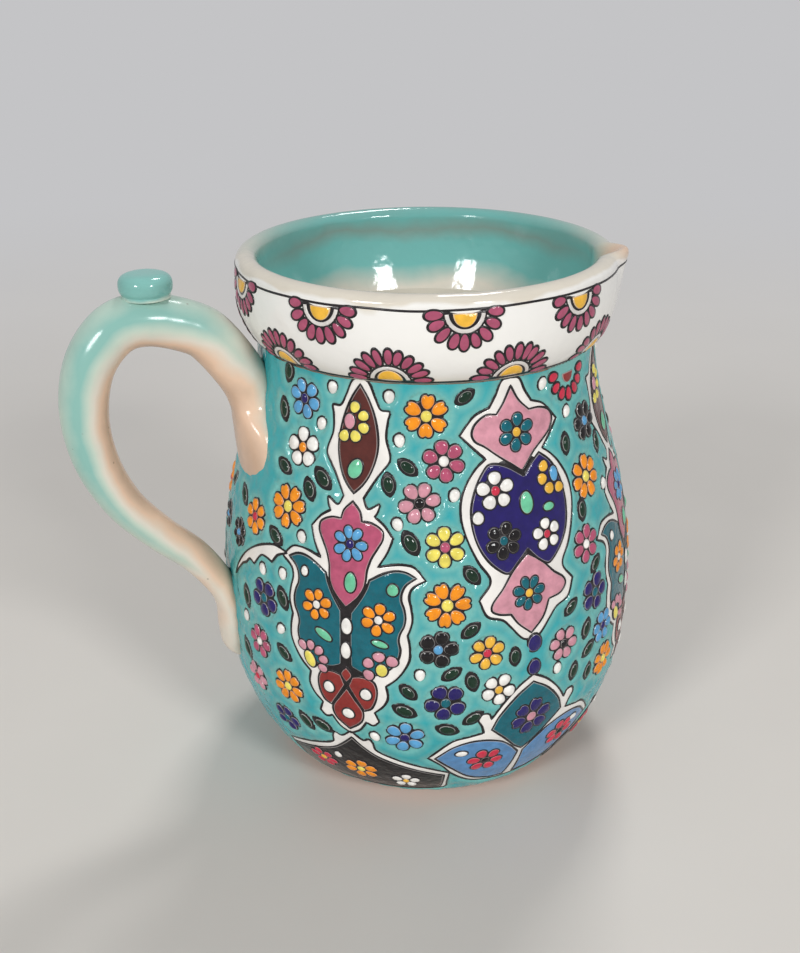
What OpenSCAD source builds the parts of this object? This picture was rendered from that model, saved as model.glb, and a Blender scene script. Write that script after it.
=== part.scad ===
// Earthenware pouring jug: thrown body, rolled collar with a pinched lip, looped handle with a thumb
// button, glaze coats and raised enamel ornament in columns round the wall.
// The origin is the centre of the foot's underside, +Z is up and the handle stands towards -X.

/* [Body] */
// Radius of the flat foot
foot_r = 46; // [42:0.5:50]
// Largest radius of the belly
belly_r = 74; // [70:0.5:78]
// Height of the widest part of the belly
belly_z = 60; // [54:1:66]
// Outer radius of the neck under the collar
neck_r = 57.5; // [54:0.5:60]
// Height at which the collar is seated on the neck
collar_z = 161.5; // [155:0.5:170]
// Thickness of the thrown wall
wall_t = 6; // [4.5:0.25:7]
// Thickness of the floor
floor_t = 8; // [6:0.5:12]

/* [Collar] */
// Largest radius of the rolled collar
bulge_r = 65; // [62:0.5:68]
// Height of the collar's widest part above its seat
bulge_rise = 18.5; // [15:0.5:20]
// Height of the rim line above the collar's seat
rim_rise = 26; // [23:0.5:30]
// How far the rim line is drawn in from the widest part
rim_draw = 0.7; // [0:0.1:2]
// Radius of the rounded rim
rim_round = 3.3; // [2.5:0.1:3.8]

/* [Lip] */
// Turn of the lip from the +X axis, in degrees
lip_turn = -25; // [-40:1:0]
// Half of the lip's width, in degrees round the rim
lip_half = 10; // [8:0.5:14]
// How far the lip's tip stands out from the rim
lip_reach = 5.2; // [3:0.1:8]
// How far the lip's tip rises over the rim
lip_rise = 1.5; // [0:0.25:3]

/* [Handle] */
// Distance from the jug's axis to the middle of the handle's outer side
handle_reach = 118.7; // [113:0.1:126]
// Width of the handle at its crown
handle_w = 18; // [15:0.5:21]
// Thickness of the handle at its crown
handle_t = 17.4; // [14:0.2:19]
// Width of the tongue that spreads on the neck
upper_tongue_w = 34; // [26:0.5:38]
// Width of the tongue that spreads on the belly
lower_tongue_w = 17; // [14:0.5:21]

/* [Thumb button] */
// Diameter of the thumb button
button_d = 17.4; // [14:0.2:19]
// Height of the thumb button
button_h = 8; // [7:0.2:12]
// Rounding of the thumb button's edges
button_round = 3.4; // [2.4:0.2:3.4]
// Depth of the flat seat under the button, below the handle's crown
seat_depth = 1.2; // [0.6:0.1:2]

/* [Glaze and enamel] */
// Thickness of the glaze coats
glaze_t = 0.4; // [0.3:0.05:0.8]
// Height of the raised enamel over the glaze
enamel_h = 0.9; // [0.6:0.05:1.4]
// Width of the white strap that borders each field
strap_w = 2.2; // [1.6:0.1:2.8]
// Width of the dark line between a field and its strap
line_w = 0.6; // [0.4:0.1:1]
// Height above the foot at which the glaze stops
glaze_foot = 7; // [5:0.5:10]
// Number of half rosettes hung from the rim line
rosette_count = 10; // [8:1:10]

/* [Hidden] */
$fn = 96;

// Fit between a bead or a line and the coat it lies on, between a broad field and the coat,
// and between a coat and a clay joint
seat_gap = 0.08;
field_gap = 0.25;
joint_gap = 0.5;
// Shape exponents of the turned profile
swell_power = 0.75;
shoulder_power = 1.4;
// Steps along the turned profiles
body_steps = 26;
collar_steps = 9;
rim_steps = 8;

bulge_z = collar_z + bulge_rise;
rim_z = collar_z + rim_rise;
rim_r = bulge_r - rim_draw;
mouth_r = rim_r - 2 * rim_round;
neck_in_r = neck_r - wall_t;

// Turned profiles

function swell(r0, r1, t) = r0 + (r1 - r0) * pow(max(0, 1 - t * t), swell_power);

function body_r(z) = z <= belly_z
    ? swell(foot_r, belly_r, 1 - z / belly_z)
    : belly_r - (belly_r - neck_r)
        * (1 - cos(180 * pow((z - belly_z) / (collar_z - belly_z), shoulder_power))) / 2;

function collar_r(z) = z <= bulge_z
    ? swell(neck_r, bulge_r, (bulge_z - z) / bulge_rise)
    : bulge_r - rim_draw * pow((z - bulge_z) / (rim_z - bulge_z), 2);

function collar_in_r(z) = neck_in_r + (mouth_r - neck_in_r) * sin(90 * (z - collar_z) / rim_rise);

function outer_r(z) = z <= collar_z ? body_r(z) : collar_r(z);

function skin_r(z) = outer_r(z) + glaze_t;

function reversed(list) = [for (i = [len(list) - 1 : -1 : 0]) list[i]];

function heights(z0, z1, steps, power) = [for (i = [0 : steps]) z0 + (z1 - z0) * pow(i / steps, power)];

foot_crowding = 1.3;
wall_zs = heights(0, collar_z, body_steps, foot_crowding);
inner_zs = heights(floor_t, collar_z, body_steps, foot_crowding);
collar_zs = heights(collar_z, rim_z, collar_steps, foot_crowding);

wall_outside = [for (z = wall_zs) [body_r(z), z]];
wall_inside = [for (z = inner_zs) [body_r(z) - wall_t, z]];
collar_outside = [for (z = collar_zs) [collar_r(z), z]];
collar_inside = [for (z = collar_zs) [collar_in_r(z), z]];
rim_arc = [for (i = [1 : rim_steps - 1])
    [rim_r - rim_round + rim_round * cos(180 * i / rim_steps), rim_z + rim_round * sin(180 * i / rim_steps)]];
collar_section = concat(collar_outside, rim_arc, reversed(collar_inside));

// Clay pieces

module body() {
    color("rosybrown")
    rotate_extrude()
    polygon(concat([[0, 0]], wall_outside, reversed(wall_inside), [[0, floor_t]]));
}

module collar() {
    color("linen")
    rotate_extrude(angle = 360 - 2 * lip_half, start = lip_turn + lip_half)
    polygon(collar_section);
}

// The lip is the collar's own section, swung round its notch and drawn out towards the tip
lip_steps = 8;
lip_pinch = 2.2;
lip_power = 4;
lip_thin = 0.45;

function lip_bump(s) = pow(max(0, 1 - s * s), lip_pinch);

function lip_share(z) = pow((z - collar_z) / (rim_z + rim_round - collar_z), lip_power);

// The inner side is drawn out further than the outer one, so that the wall thins towards the tip
function lip_draw(p) = 1 + lip_thin * min(1, (collar_r(min(p[1], rim_z)) - p[0]) / (2 * rim_round));

function lip_ring(s) = let (turn = lip_turn + lip_half * s, bump = lip_bump(s))
    [for (p = collar_section)
        let (r = p[0] + lip_reach * bump * lip_share(p[1]) * lip_draw(p))
        [r * cos(turn), r * sin(turn), p[1] + lip_rise * bump * lip_share(p[1])]];

module pouring_lip() {
    color("tan")
    tube(reversed([for (i = [-lip_steps : lip_steps]) lip_ring(i / lip_steps)]));
}

// A closed solid through rings that have the same number of points
module tube(rings) {
    count = len(rings[0]);
    last = len(rings) - 1;
    sides = [for (i = [0 : last - 1], j = [0 : count - 1])
        let (k = (j + 1) % count, a = i * count, b = a + count)
        each [[a + j, a + k, b + k], [a + j, b + k, b + j]]];
    first_cap = [[for (j = [count - 1 : -1 : 0]) j]];
    last_cap = [[for (j = [0 : count - 1]) last * count + j]];
    polyhedron([for (ring = rings) each ring], concat(sides, first_cap, last_cap), convexity = 6);
}

// The handle's route: share of the way from the wall to the reach, height from the collar's seat,
// share of the full width, share of the full thickness, and share of a tongue's width.
// Rows beside the collar take their share from the collar's widest part instead of the wall.
handle_route = [
    [-0.058, -48.3, 0, 0.14, 0.78], [-0.029, -42.3, 0, 0.36, 0.98], [-0.005, -34.8, 0, 0.58, 1],
    [0.021, -26.8, 0.12, 0.76, 0.8], [0.053, -18.3, 0.65, 0.91, 0.16], [0.013, -9.6, 0.95, 0.97, 0],
    [0.168, 2.8, 1, 1, 0], [0.298, 8.6, 1, 1, 0], [0.564, 13, 1, 1, 0], [0.771, 10.8, 1, 1, 0],
    [0.937, -0.2, 1, 0.96, 0], [1, -16.5, 0.97, 0.92, 0], [0.958, -34, 0.92, 0.85, 0],
    [0.806, -50.3, 0.87, 0.76, 0], [0.559, -63.4, 0.83, 0.7, 0], [0.3, -74, 0.78, 0.67, 0],
    [0.103, -86, 0.6, 0.6, 0.15], [0.035, -94.6, 0.3, 0.56, 0.6], [0.029, -104, 0.06, 0.54, 0.92],
    [0.019, -110.6, 0, 0.5, 0.86], [-0.029, -115.4, 0, 0.26, 0.6], [-0.058, -118.4, 0, 0.12, 0.4]];
crown_index = 8;
// Rows of the route at which the handle has come clear of the wall
upper_root = 6;
lower_root = 15;
// Height from the collar's seat above which a row lies beside the collar
beside_collar = -12;
handle_rings = 50;
handle_sides = 20;

function route_point(index) =
    let (row = handle_route[index], z = collar_z + row[1],
        wall = row[1] > beside_collar ? bulge_r : body_r(z),
        tongue = index < crown_index ? upper_tongue_w : lower_tongue_w)
    [wall + row[0] * (handle_reach - wall), z, (row[2] * handle_w + row[4] * tongue) / 2,
        row[3] * handle_t / 2, row[4]];

handle_path = [for (i = [0 : len(handle_route) - 1]) route_point(i)];
crown = handle_path[crown_index];
seat_z = crown[1] + crown[3] - seat_depth;

function blend(a, b, c, d, t) = 0.5 * (2 * b + (c - a) * t + (2 * a - 5 * b + 4 * c - d) * t * t
    + (3 * b - a - 3 * c + d) * t * t * t);

function along(path, u) = let (n = len(path) - 1, i = max(0, min(floor(u * n), n - 1)))
    blend(path[max(i - 1, 0)], path[i], path[i + 1], path[min(i + 2, n)], u * n - i);

path_step = 0.002;

// One ring of the handle, widened by a margin; where a tongue spreads, the ring bends round the wall
function handle_ring(u, margin) =
    let (p = along(handle_path, u),
        d = along(handle_path, min(1, u + path_step)) - along(handle_path, max(0, u - path_step)),
        run = norm([d[0], d[1]]))
    [for (i = [0 : handle_sides - 1])
        let (a = 360 * i / handle_sides, side = (p[2] + margin) * cos(a), lift = (p[3] + margin) * sin(a),
            reach = p[0] - d[1] / run * lift, bend = p[4] * side)
        [-sqrt(reach * reach - bend * bend), side, p[1] + d[0] / run * lift]];

function ring_at(row) = round(row / (len(handle_route) - 1) * handle_rings);

module handle_tube(first, last, margin = 0) {
    tube([for (i = [first : last]) handle_ring(i / handle_rings, margin)]);
}

module handle() {
    color("paleturquoise")
    difference() {
        handle_tube(0, handle_rings);
        rotate_extrude()
        polygon(concat([[0, 0]], wall_outside, [[0, collar_z]]));
        translate([-crown[0], 0, seat_z])
        cylinder(d = button_d + 2 * joint_gap, h = button_h);
    }
}

module thumb_button() {
    inset = button_d / 2 - button_round;
    corner = [for (i = [0 : 6]) [cos(15 * i), sin(15 * i)] * button_round];
    color("mediumturquoise")
    translate([-crown[0], 0, seat_z])
    rotate_extrude()
    polygon(concat([[0, 0]],
        [for (p = reversed(corner)) [inset + p[0], button_round - p[1]]],
        [for (p = corner) [inset + p[0], button_h - button_round + p[1]]],
        [[0, button_h]]));
}

// Glaze coats

// The ground coat stops all round the handle's two tongues
module ground_glaze() {
    coat_start = [lookup(glaze_foot, [for (p = wall_outside) [p[1], p[0]]]), glaze_foot];
    coat_inside = concat([coat_start], [for (p = wall_outside) if (p[1] > glaze_foot) p]);
    color("mediumturquoise")
    difference() {
        rotate_extrude()
        polygon(concat([for (p = coat_inside) [p[0] + glaze_t, p[1]]], reversed(coat_inside)));
        handle_tube(0, ring_at(upper_root), joint_gap);
        handle_tube(ring_at(lower_root), handle_rings, joint_gap);
    }
}

module interior_glaze() {
    clay = concat(wall_inside, [for (i = [1 : collar_steps]) collar_inside[i]]);
    coat_floor = floor_t + glaze_t;
    coat = [for (p = clay) if (p[1] > coat_floor) [p[0] - glaze_t, p[1]]];
    color("lightseagreen")
    rotate_extrude()
    polygon(concat([[0, floor_t]], clay, reversed(coat),
        [[body_r(coat_floor) - wall_t - glaze_t, coat_floor], [0, coat_floor]]));
}

module collar_glaze() {
    coat = [for (p = collar_outside) [p[0] + glaze_t, p[1]]];
    color("white")
    rotate_extrude(angle = 360 - 2 * lip_half, start = lip_turn + lip_half)
    polygon(concat(coat, reversed(collar_outside)));
}

module painted_lines() {
    color("black") {
        rotate_extrude(angle = 360 - 2 * lip_half, start = lip_turn + lip_half)
        translate([rim_r + glaze_t + seat_gap, rim_z - line_w])
        square(line_w);
        rotate_extrude()
        translate([neck_r + glaze_t + seat_gap, collar_z - line_w])
        square(line_w);
    }
}

// Ornament layout. Heights are those on a wall of the drawn height and stretch with the wall.
drawn_z = 161.5;
stretch = collar_z / drawn_z;
a_columns = [-130.6, -34.6, 61.4];
b_columns = [-83.2, 12.8, 108.8];
column_step = 48;
ab_gaps = concat([for (turn = b_columns) turn - column_step / 2], [b_columns[2] + column_step / 2]);
ba_gaps = [for (i = [1 : 2]) a_columns[i] - column_step / 2];

function arc_deg(u, z) = u / skin_r(z) * 180 / PI;

function on_skin(turn, z, lift) = let (r = skin_r(z) + lift) [r * cos(turn), r * sin(turn), z];

// A thin raised solid that follows the skin over a grid of [turn, height] points
module sheet(grid) {
    n = len(grid);
    m = len(grid[0]);
    top = n * m;
    points = concat([for (row = grid) each [for (p = row) on_skin(p[0], p[1], field_gap)]],
        [for (row = grid) each [for (p = row) on_skin(p[0], p[1], enamel_h)]]);
    cells = [for (i = [0 : n - 2], j = [0 : m - 2]) i * m + j];
    rim = concat([for (j = [0 : m - 2]) [j, j + 1]], [for (i = [0 : n - 2]) [i * m + m - 1, i * m + 2 * m - 1]],
        [for (j = [m - 1 : -1 : 1]) [(n - 1) * m + j, (n - 1) * m + j - 1]],
        [for (i = [n - 1 : -1 : 1]) [i * m, i * m - m]]);
    polyhedron(points, concat(
        [for (c = cells) each [[c, c + 1, c + m + 1], [c, c + m + 1, c + m]]],
        [for (c = cells) each [[top + c, top + c + m + 1, top + c + 1], [top + c, top + c + m, top + c + m + 1]]],
        [for (e = rim) each [[e[0], top + e[1], e[1]], [e[0], top + e[0], top + e[1]]]]), convexity = 4);
}

// A field from rows of [height, left edge, right edge], the edges in mm from the column's middle
module field(turn, rows, columns) {
    sheet([for (row = rows) let (z = row[0] * stretch)
        [for (j = [0 : columns]) [turn + arc_deg(row[1] + (row[2] - row[1]) * j / columns, z), z]]]);
}

function full(half) = [for (row = half) [row[0], -row[1], row[1]]];

function flipped(rows) = [for (row = rows) [row[0], -row[2], -row[1]]];

function strap(half) = [for (row = half) [row[0], row[1] + line_w, row[1] + line_w + strap_w]];

module strap_pair(turn, half) {
    field(turn, strap(half), 1);
    field(turn, flipped(strap(half)), 1);
}

module field_pair(turn, rows, columns) {
    field(turn, rows, columns);
    field(turn, flipped(rows), columns);
}

// Half widths of the fields down each column
spindle = [[158, 1], [153, 4.4], [147, 6], [140, 4.8], [133, 2.4], [127, 0.8]];
bud = [[122.5, 1], [119, 4], [116, 10.5], [113, 11.6], [109, 8], [103, 6.6], [96, 5.2], [90, 1]];
trefoil = [[63, 3.4], [60, 6.6], [57, 6.4], [53, 4.4], [48, 2.8], [43, 0.8]];
top_trefoil = [[157.5, 0.8], [153.5, 4.6], [149.5, 10], [146, 13.2], [142, 11.5], [137.5, 6.2], [133.8, 1]];
medallion = [[131, 4], [127, 10.6], [121, 15.6], [115, 16.4], [109.5, 13.2], [105, 7.4]];
low_trefoil = [[102.6, 0.8], [99, 4], [95, 9.6], [91.5, 13.8], [88, 12], [83.5, 6], [79.5, 1]];
arch = [[57.5, 1], [53, 6], [48, 10.5], [43, 13.5], [39, 14.6]];
base_band = [[37, 1], [33, 9], [28, 16], [23, 19], [18, 20], [13, 18.5]];
// Rows of the fields that lie to one side of the middle
wing = [[103, 20, 22.6], [99, 15, 21.8], [94, 9.6, 19.6], [88, 5, 18.2], [82, 0.4, 18.4], [76, 0.4, 18.2],
    [70, 0.4, 13], [66, 0.4, 6]];
wing_strap = [for (row = wing) [row[0], row[2] + line_w, row[2] + line_w + strap_w]];
base_leaf = [[35.5, 5, 18], [31, 1, 22], [25, 1, 21], [19, 1, 15]];
// Points along a swag: share of the way from the strap to its end, heights of its upper and its lower edge
swag = [[0, 98, 96], [0.167, 100.5, 96.5], [0.405, 100, 94], [0.643, 96.5, 91.5], [0.851, 90.5, 86],
    [1, 83.5, 81.5]];
// How far a swag stays off the strap it leaves, and its end's turn from the column
swag_gap = 0.4;
swag_end = 37;
swag_start = arc_deg(wing_strap[1][2] + swag_gap, wing_strap[1][0] * stretch);

function swag_turn(share) = swag_start + share * (swag_end - swag_start);

bead_zs = [73.5, 65];
bead_r = 2.6;

module columns_of(turns) {
    for (turn = turns)
        let ($turn = turn)
        children();
}

module strap_borders() {
    color("whitesmoke")
    union() {
        columns_of(a_columns) {
            strap_pair($turn, spindle);
            strap_pair($turn, bud);
            field_pair($turn, wing_strap, 1);
            strap_pair($turn, trefoil);
        }
        columns_of(b_columns) {
            strap_pair($turn, top_trefoil);
            strap_pair($turn, medallion);
            strap_pair($turn, low_trefoil);
            strap_pair($turn, arch);
        }
    }
}

module swag_band(turn, points) {
    sheet([for (edge = [1, 2]) [for (p = points) [turn + p[0], p[edge] * stretch]]]);
}

module handle_swags() {
    color("whitesmoke")
    union() {
        swag_band(a_columns[0], [for (p = reversed(swag)) [-swag_turn(p[0]), p[1], p[2]]]);
        swag_band(-a_columns[0], [for (p = swag) [swag_turn(p[0]), p[1], p[2]]]);
    }
}

module spindle_fields() {
    color("saddlebrown")
    columns_of(a_columns)
    field($turn, full(spindle), 2);
}

module bud_fields() {
    color("palevioletred")
    columns_of(a_columns)
    field($turn, full(bud), 4);
}

module wing_fields() {
    color("teal")
    columns_of(a_columns)
    field_pair($turn, wing, 3);
}

module trefoil_fields() {
    color("sienna")
    columns_of(a_columns)
    field($turn, full(trefoil), 2);
}

module base_band_fields() {
    color("black")
    columns_of(a_columns)
    field($turn, full(base_band), 6);
}

module pink_trefoils() {
    color("palevioletred")
    columns_of(b_columns) {
        field($turn, full(top_trefoil), 4);
        field($turn, full(low_trefoil), 4);
    }
}

module medallion_fields() {
    color("midnightblue")
    columns_of(b_columns)
    field($turn, full(medallion), 6);
}

module medallion_beads() {
    color("midnightblue")
    columns_of(b_columns)
    for (z = bead_zs)
        on_body($turn, z, bead_r)
        bead(bead_r);
}

module arch_fields() {
    color("teal")
    columns_of(b_columns)
    field($turn, full(arch), 4);
}

module base_leaf_fields() {
    color("steelblue")
    columns_of(b_columns)
    field_pair($turn, base_leaf, 3);
}

// Flowers, leaves and dots stand on the fields or straight on the ground coat.
// Each flower: turn from its column or gap, height, radius, colour, and whether it stands on a field.
ab_flowers = [[-4, 151, 6.6, "orange"], [1, 137, 6, "rose"], [-6, 123.5, 5.6, "rose"], [1, 110.5, 6.2, "yellow"],
    [1, 92, 6.8, "orange"], [-1, 76, 5.8, "navy"], [1, 57.5, 5.8, "navy"], [-9, 41, 6, "blue"],
    [12.5, 73, 4.6, "orange"], [14, 61, 5, "white"]];
ba_flowers = [[0, 151, 6.4, "red"], [7, 137.5, 5.6, "navy"], [3, 121.5, 6.8, "orange"], [-4, 101.5, 5.8, "rose"],
    [-1, 83.5, 5.8, "navy"], [4, 67, 5.4, "blue"], [-12.5, 68, 5.6, "rose"], [8, 51, 6, "orange"],
    [-11, 39, 4.6, "red"]];
side_flowers = [[152, 151, 6, "blue"], [150, 135.5, 6, "white"], [151.5, 117, 6.6, "orange"],
    [166, 107.5, 5.4, "orange"], [157, 82, 6, "navy"], [160, 63.5, 5.2, "rose"], [164.5, 47, 5, "rose"],
    [149.5, 51, 5.4, "orange"], [154, 34, 5, "navy"]];
a_flowers = [[0, 147, 4.4, "yellow"], [0, 110.5, 4.8, "blue"], [-8.6, 88.5, 4.8, "orange"],
    [8.6, 88.5, 4.8, "orange"], [-8.6, 75.5, 3.8, "rose"], [8.6, 75.5, 3.8, "rose"], [-11, 23, 3.8, "red"],
    [-3, 28, 3.8, "white"], [4, 18, 4, "orange"], [12, 22, 3.8, "white"]];
b_flowers = [[0, 144, 5, "teal"], [-8.4, 125, 4.8, "white"], [8.4, 125, 4.8, "yellow"], [-7.4, 112, 4.8, "navy"],
    [6.4, 111.5, 4.8, "white"], [0, 91.5, 5, "teal"], [0, 46, 5.6, "navy"], [-9, 29, 4.2, "red"],
    [9, 29, 4.2, "red"]];
ab_leaves = [[-11, 136], [-15, 128], [-8, 112.5], [8.5, 157], [7, 101.5], [7, 82.5], [8, 66], [-8, 63], [-10, 54],
    [9, 49], [2, 46]];
ba_leaves = [[-5, 134], [-3, 111.5], [0, 92.5], [-11, 82], [-5, 74], [-3, 59]];
side_leaves = [[160, 157], [163, 144], [158, 129], [143.5, 125], [155, 105.5], [149, 66], [157, 73]];
ab_dots = [[-15, 156], [-13, 144.5], [-12.5, 119], [4.5, 126], [-7, 69.5], [4.5, 117]];
ba_dots = [[-12, 156.5], [-2, 145], [-14, 59], [11, 127]];
side_dots = [[140.5, 157], [143.5, 145], [144.5, 113], [158.5, 90.3], [151, 92], [167, 71], [150.5, 75]];
leaf_l = 9;
leaf_w = 4.6;
dot_r = 2.1;
petals = 6;
centre_share = 0.32;

function turned(item, turn) = concat([turn], [for (i = [1 : len(item) - 1]) item[i]]);

function placed(list, turns) = [for (t = turns) each [for (f = list) turned(f, t + f[0])]];

function both_sides(list) = concat(list, [for (f = list) turned(f, -f[0])]);

open_flowers = concat(placed(ab_flowers, ab_gaps), placed(ba_flowers, ba_gaps), both_sides(side_flowers));
field_flowers = concat(placed(a_flowers, a_columns), placed(b_flowers, b_columns));
leaves = concat(placed(ab_leaves, ab_gaps), placed(ba_leaves, ba_gaps), both_sides(side_leaves));
dots = concat(placed(ab_dots, ab_gaps), placed(ba_dots, ba_gaps), both_sides(side_dots));

function slope(z) = atan(outer_r(z + 0.5) - outer_r(z - 0.5));

// Sets its children on the coat, their +Z along the coat's outward normal and their +X down the wall.
// A flat base of the given half length rests on its ends where the wall is hollow.
module on_body(turn, drawn_height, half, lift = 0) {
    z = drawn_height * stretch;
    hollow = max(0, (body_r(min(z + half, collar_z)) + body_r(z - half)) / 2 - body_r(z));
    rotate([0, 0, turn])
    translate([skin_r(z), 0, z])
    rotate([0, 90 + slope(z), 0])
    translate([0, 0, seat_gap + hollow + lift])
    children();
}

module bead(r) {
    rotate_extrude($fn = 24)
    polygon([[0, 0], [r, 0], [0.8 * r, 0.65 * enamel_h], [0.4 * r, enamel_h], [0, enamel_h]]);
}

module rosette(r) {
    petal_r = 0.33 * r;
    linear_extrude(enamel_h)
    difference() {
        union()
        for (i = [0 : petals - 1])
            rotate(360 * i / petals)
            translate([r - petal_r, 0])
            circle(petal_r, $fn = 24);
        circle(centre_share * r + seat_gap, $fn = 24);
    }
}

module flowers_of(shade) {
    union() {
        for (f = open_flowers)
            if (f[3] == shade)
                on_body(f[0], f[1], f[2])
                rosette(f[2]);
        for (f = field_flowers)
            if (f[3] == shade)
                on_body(f[0], f[1], f[2], enamel_h)
                rosette(f[2]);
    }
}

module orange_flowers() {
    color("orange")
    flowers_of("orange");
}

module rose_flowers() {
    color("palevioletred")
    flowers_of("rose");
}

module white_flowers() {
    color("white")
    flowers_of("white");
}

module yellow_flowers() {
    color("khaki")
    flowers_of("yellow");
}

module navy_flowers() {
    color("midnightblue")
    flowers_of("navy");
}

module blue_flowers() {
    color("cornflowerblue")
    flowers_of("blue");
}

module teal_flowers() {
    color("teal")
    flowers_of("teal");
}

module red_flowers() {
    color("crimson")
    flowers_of("red");
}

module flower_centres() {
    color("gold")
    union() {
        for (f = open_flowers)
            on_body(f[0], f[1], f[2])
            bead(centre_share * f[2]);
        for (f = field_flowers)
            on_body(f[0], f[1], f[2], enamel_h)
            bead(centre_share * f[2]);
    }
}

module leaf() {
    r = (leaf_l * leaf_l / 4 + leaf_w * leaf_w / 4) / leaf_w;
    linear_extrude(enamel_h)
    intersection() {
        translate([0, r - leaf_w / 2])
        circle(r);
        translate([0, leaf_w / 2 - r])
        circle(r);
    }
}

module green_leaves() {
    color("darkgreen")
    union()
    for (p = leaves)
        on_body(p[0], p[1], leaf_l / 2)
        leaf();
}

module white_dots() {
    color("white")
    union()
    for (p = dots)
        on_body(p[0], p[1], dot_r)
        bead(dot_r);
}

// Half rosettes on the collar: one row hangs from the rim line, one row stands on the lower line
rosette_r = 10.6;
rosette_ring_r = 5.2;
rosette_centre_r = 3.4;
rosette_petals_n = 8;
rosette_ring_steps = 5;
scallop = 1;
hanging_turn = -100;
standing_turn = -82;
standing_z = collar_z + 2.5;
hanging_z = rim_z - 1.5;
lip_margin = 10;

hanging = [for (i = [0 : rosette_count - 1]) hanging_turn + 360 * i / rosette_count];
standing = [for (i = [0 : rosette_count - 1]) standing_turn + 360 * i / rosette_count];

function near_lip(turn) = abs((turn - lip_turn + 540) % 360 - 180) < lip_half + lip_margin;

// Half ring between two radii; up is 1 for a rosette that stands and -1 for one that hangs
module half_ring(turn, z, inner, outer, steps, wave, up) {
    sheet([for (k = [1, 0])
        [for (i = [0 : steps])
            let (a = 180 * i / steps, edge = outer - wave * (1 - (i % 2)),
                r = k == 0 ? inner : edge)
            [turn - up * arc_deg(r * cos(a), z), z + up * r * sin(a)]]]);
}

module rosette_row(inner, outer, steps, wave) {
    union() {
        for (turn = hanging)
            if (!near_lip(turn))
                half_ring(turn, hanging_z, inner, outer, steps, wave, -1);
        for (turn = standing)
            half_ring(turn, standing_z, inner, outer, steps, wave, 1);
    }
}

module rosette_petals() {
    color("mediumvioletred")
    rosette_row(rosette_ring_r + line_w, rosette_r, 2 * rosette_petals_n, scallop);
}

module rosette_rings() {
    color("white")
    rosette_row(rosette_centre_r + line_w, rosette_ring_r, rosette_ring_steps, 0);
}

module rosette_centres() {
    color("goldenrod")
    rosette_row(line_w, rosette_centre_r, rosette_ring_steps, 0);
}

body();
collar();
pouring_lip();
handle();
thumb_button();
ground_glaze();
interior_glaze();
collar_glaze();
painted_lines();
strap_borders();
handle_swags();
spindle_fields();
bud_fields();
wing_fields();
trefoil_fields();
base_band_fields();
pink_trefoils();
medallion_fields();
medallion_beads();
arch_fields();
base_leaf_fields();
orange_flowers();
rose_flowers();
white_flowers();
yellow_flowers();
navy_flowers();
blue_flowers();
teal_flowers();
red_flowers();
flower_centres();
green_leaves();
white_dots();
rosette_petals();
rosette_rings();
rosette_centres();
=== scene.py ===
import math
import random

import bpy
import numpy as np
from bpy.props import FloatProperty, FloatVectorProperty, IntProperty, PointerProperty
from bpy.types import Operator, Panel, PropertyGroup
from mathutils import Matrix, Vector, noise
from mathutils.geometry import delaunay_2d_cdt
from mathutils.kdtree import KDTree


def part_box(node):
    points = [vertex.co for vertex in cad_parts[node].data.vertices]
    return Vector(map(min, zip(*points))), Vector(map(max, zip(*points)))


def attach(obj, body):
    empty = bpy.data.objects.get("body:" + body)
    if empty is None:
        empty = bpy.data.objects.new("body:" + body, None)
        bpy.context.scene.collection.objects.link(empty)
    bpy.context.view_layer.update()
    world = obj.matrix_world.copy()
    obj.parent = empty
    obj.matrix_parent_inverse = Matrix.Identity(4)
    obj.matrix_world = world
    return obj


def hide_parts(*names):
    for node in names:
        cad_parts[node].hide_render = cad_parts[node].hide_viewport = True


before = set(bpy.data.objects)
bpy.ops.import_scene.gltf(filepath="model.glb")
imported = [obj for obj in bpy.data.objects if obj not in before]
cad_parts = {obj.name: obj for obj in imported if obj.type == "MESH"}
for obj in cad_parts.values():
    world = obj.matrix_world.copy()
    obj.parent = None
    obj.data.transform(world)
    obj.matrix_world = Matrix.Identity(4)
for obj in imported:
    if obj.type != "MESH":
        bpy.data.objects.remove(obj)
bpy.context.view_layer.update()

bl_info = {
    "name": "Enamelled pouring jug",
    "version": (1, 0, 0),
    "blender": (4, 5, 0),
    "location": "3D View > Sidebar > Jug",
    "description": "Dresses the packed jug with glaze, raised enamel, a pulled handle and a stage",
    "category": "Add Mesh",
}

MM = 0.001
BODY_LOW, BODY_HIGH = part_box("body")
BUTTON_LOW, BUTTON_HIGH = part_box("thumb_button")


def srgb(red, green, blue):
    """Linear colour from 0 to 255 display values."""
    def linear(value):
        share = value / 255
        return share / 12.92 if share <= 0.04045 else ((share + 0.055) / 1.055) ** 2.4
    return linear(red), linear(green), linear(blue)


def length(name, description, millimetres):
    """A length property whose default is given in millimetres."""
    return FloatProperty(name=name, description=description, default=millimetres * MM, min=0, unit="LENGTH",
                         precision=5)


def shade(name, description, red, green, blue):
    """A colour property whose default is given in display values."""
    return FloatVectorProperty(name=name, description=description, subtype="COLOR", size=3, min=0, max=1,
                               default=srgb(red, green, blue))


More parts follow.
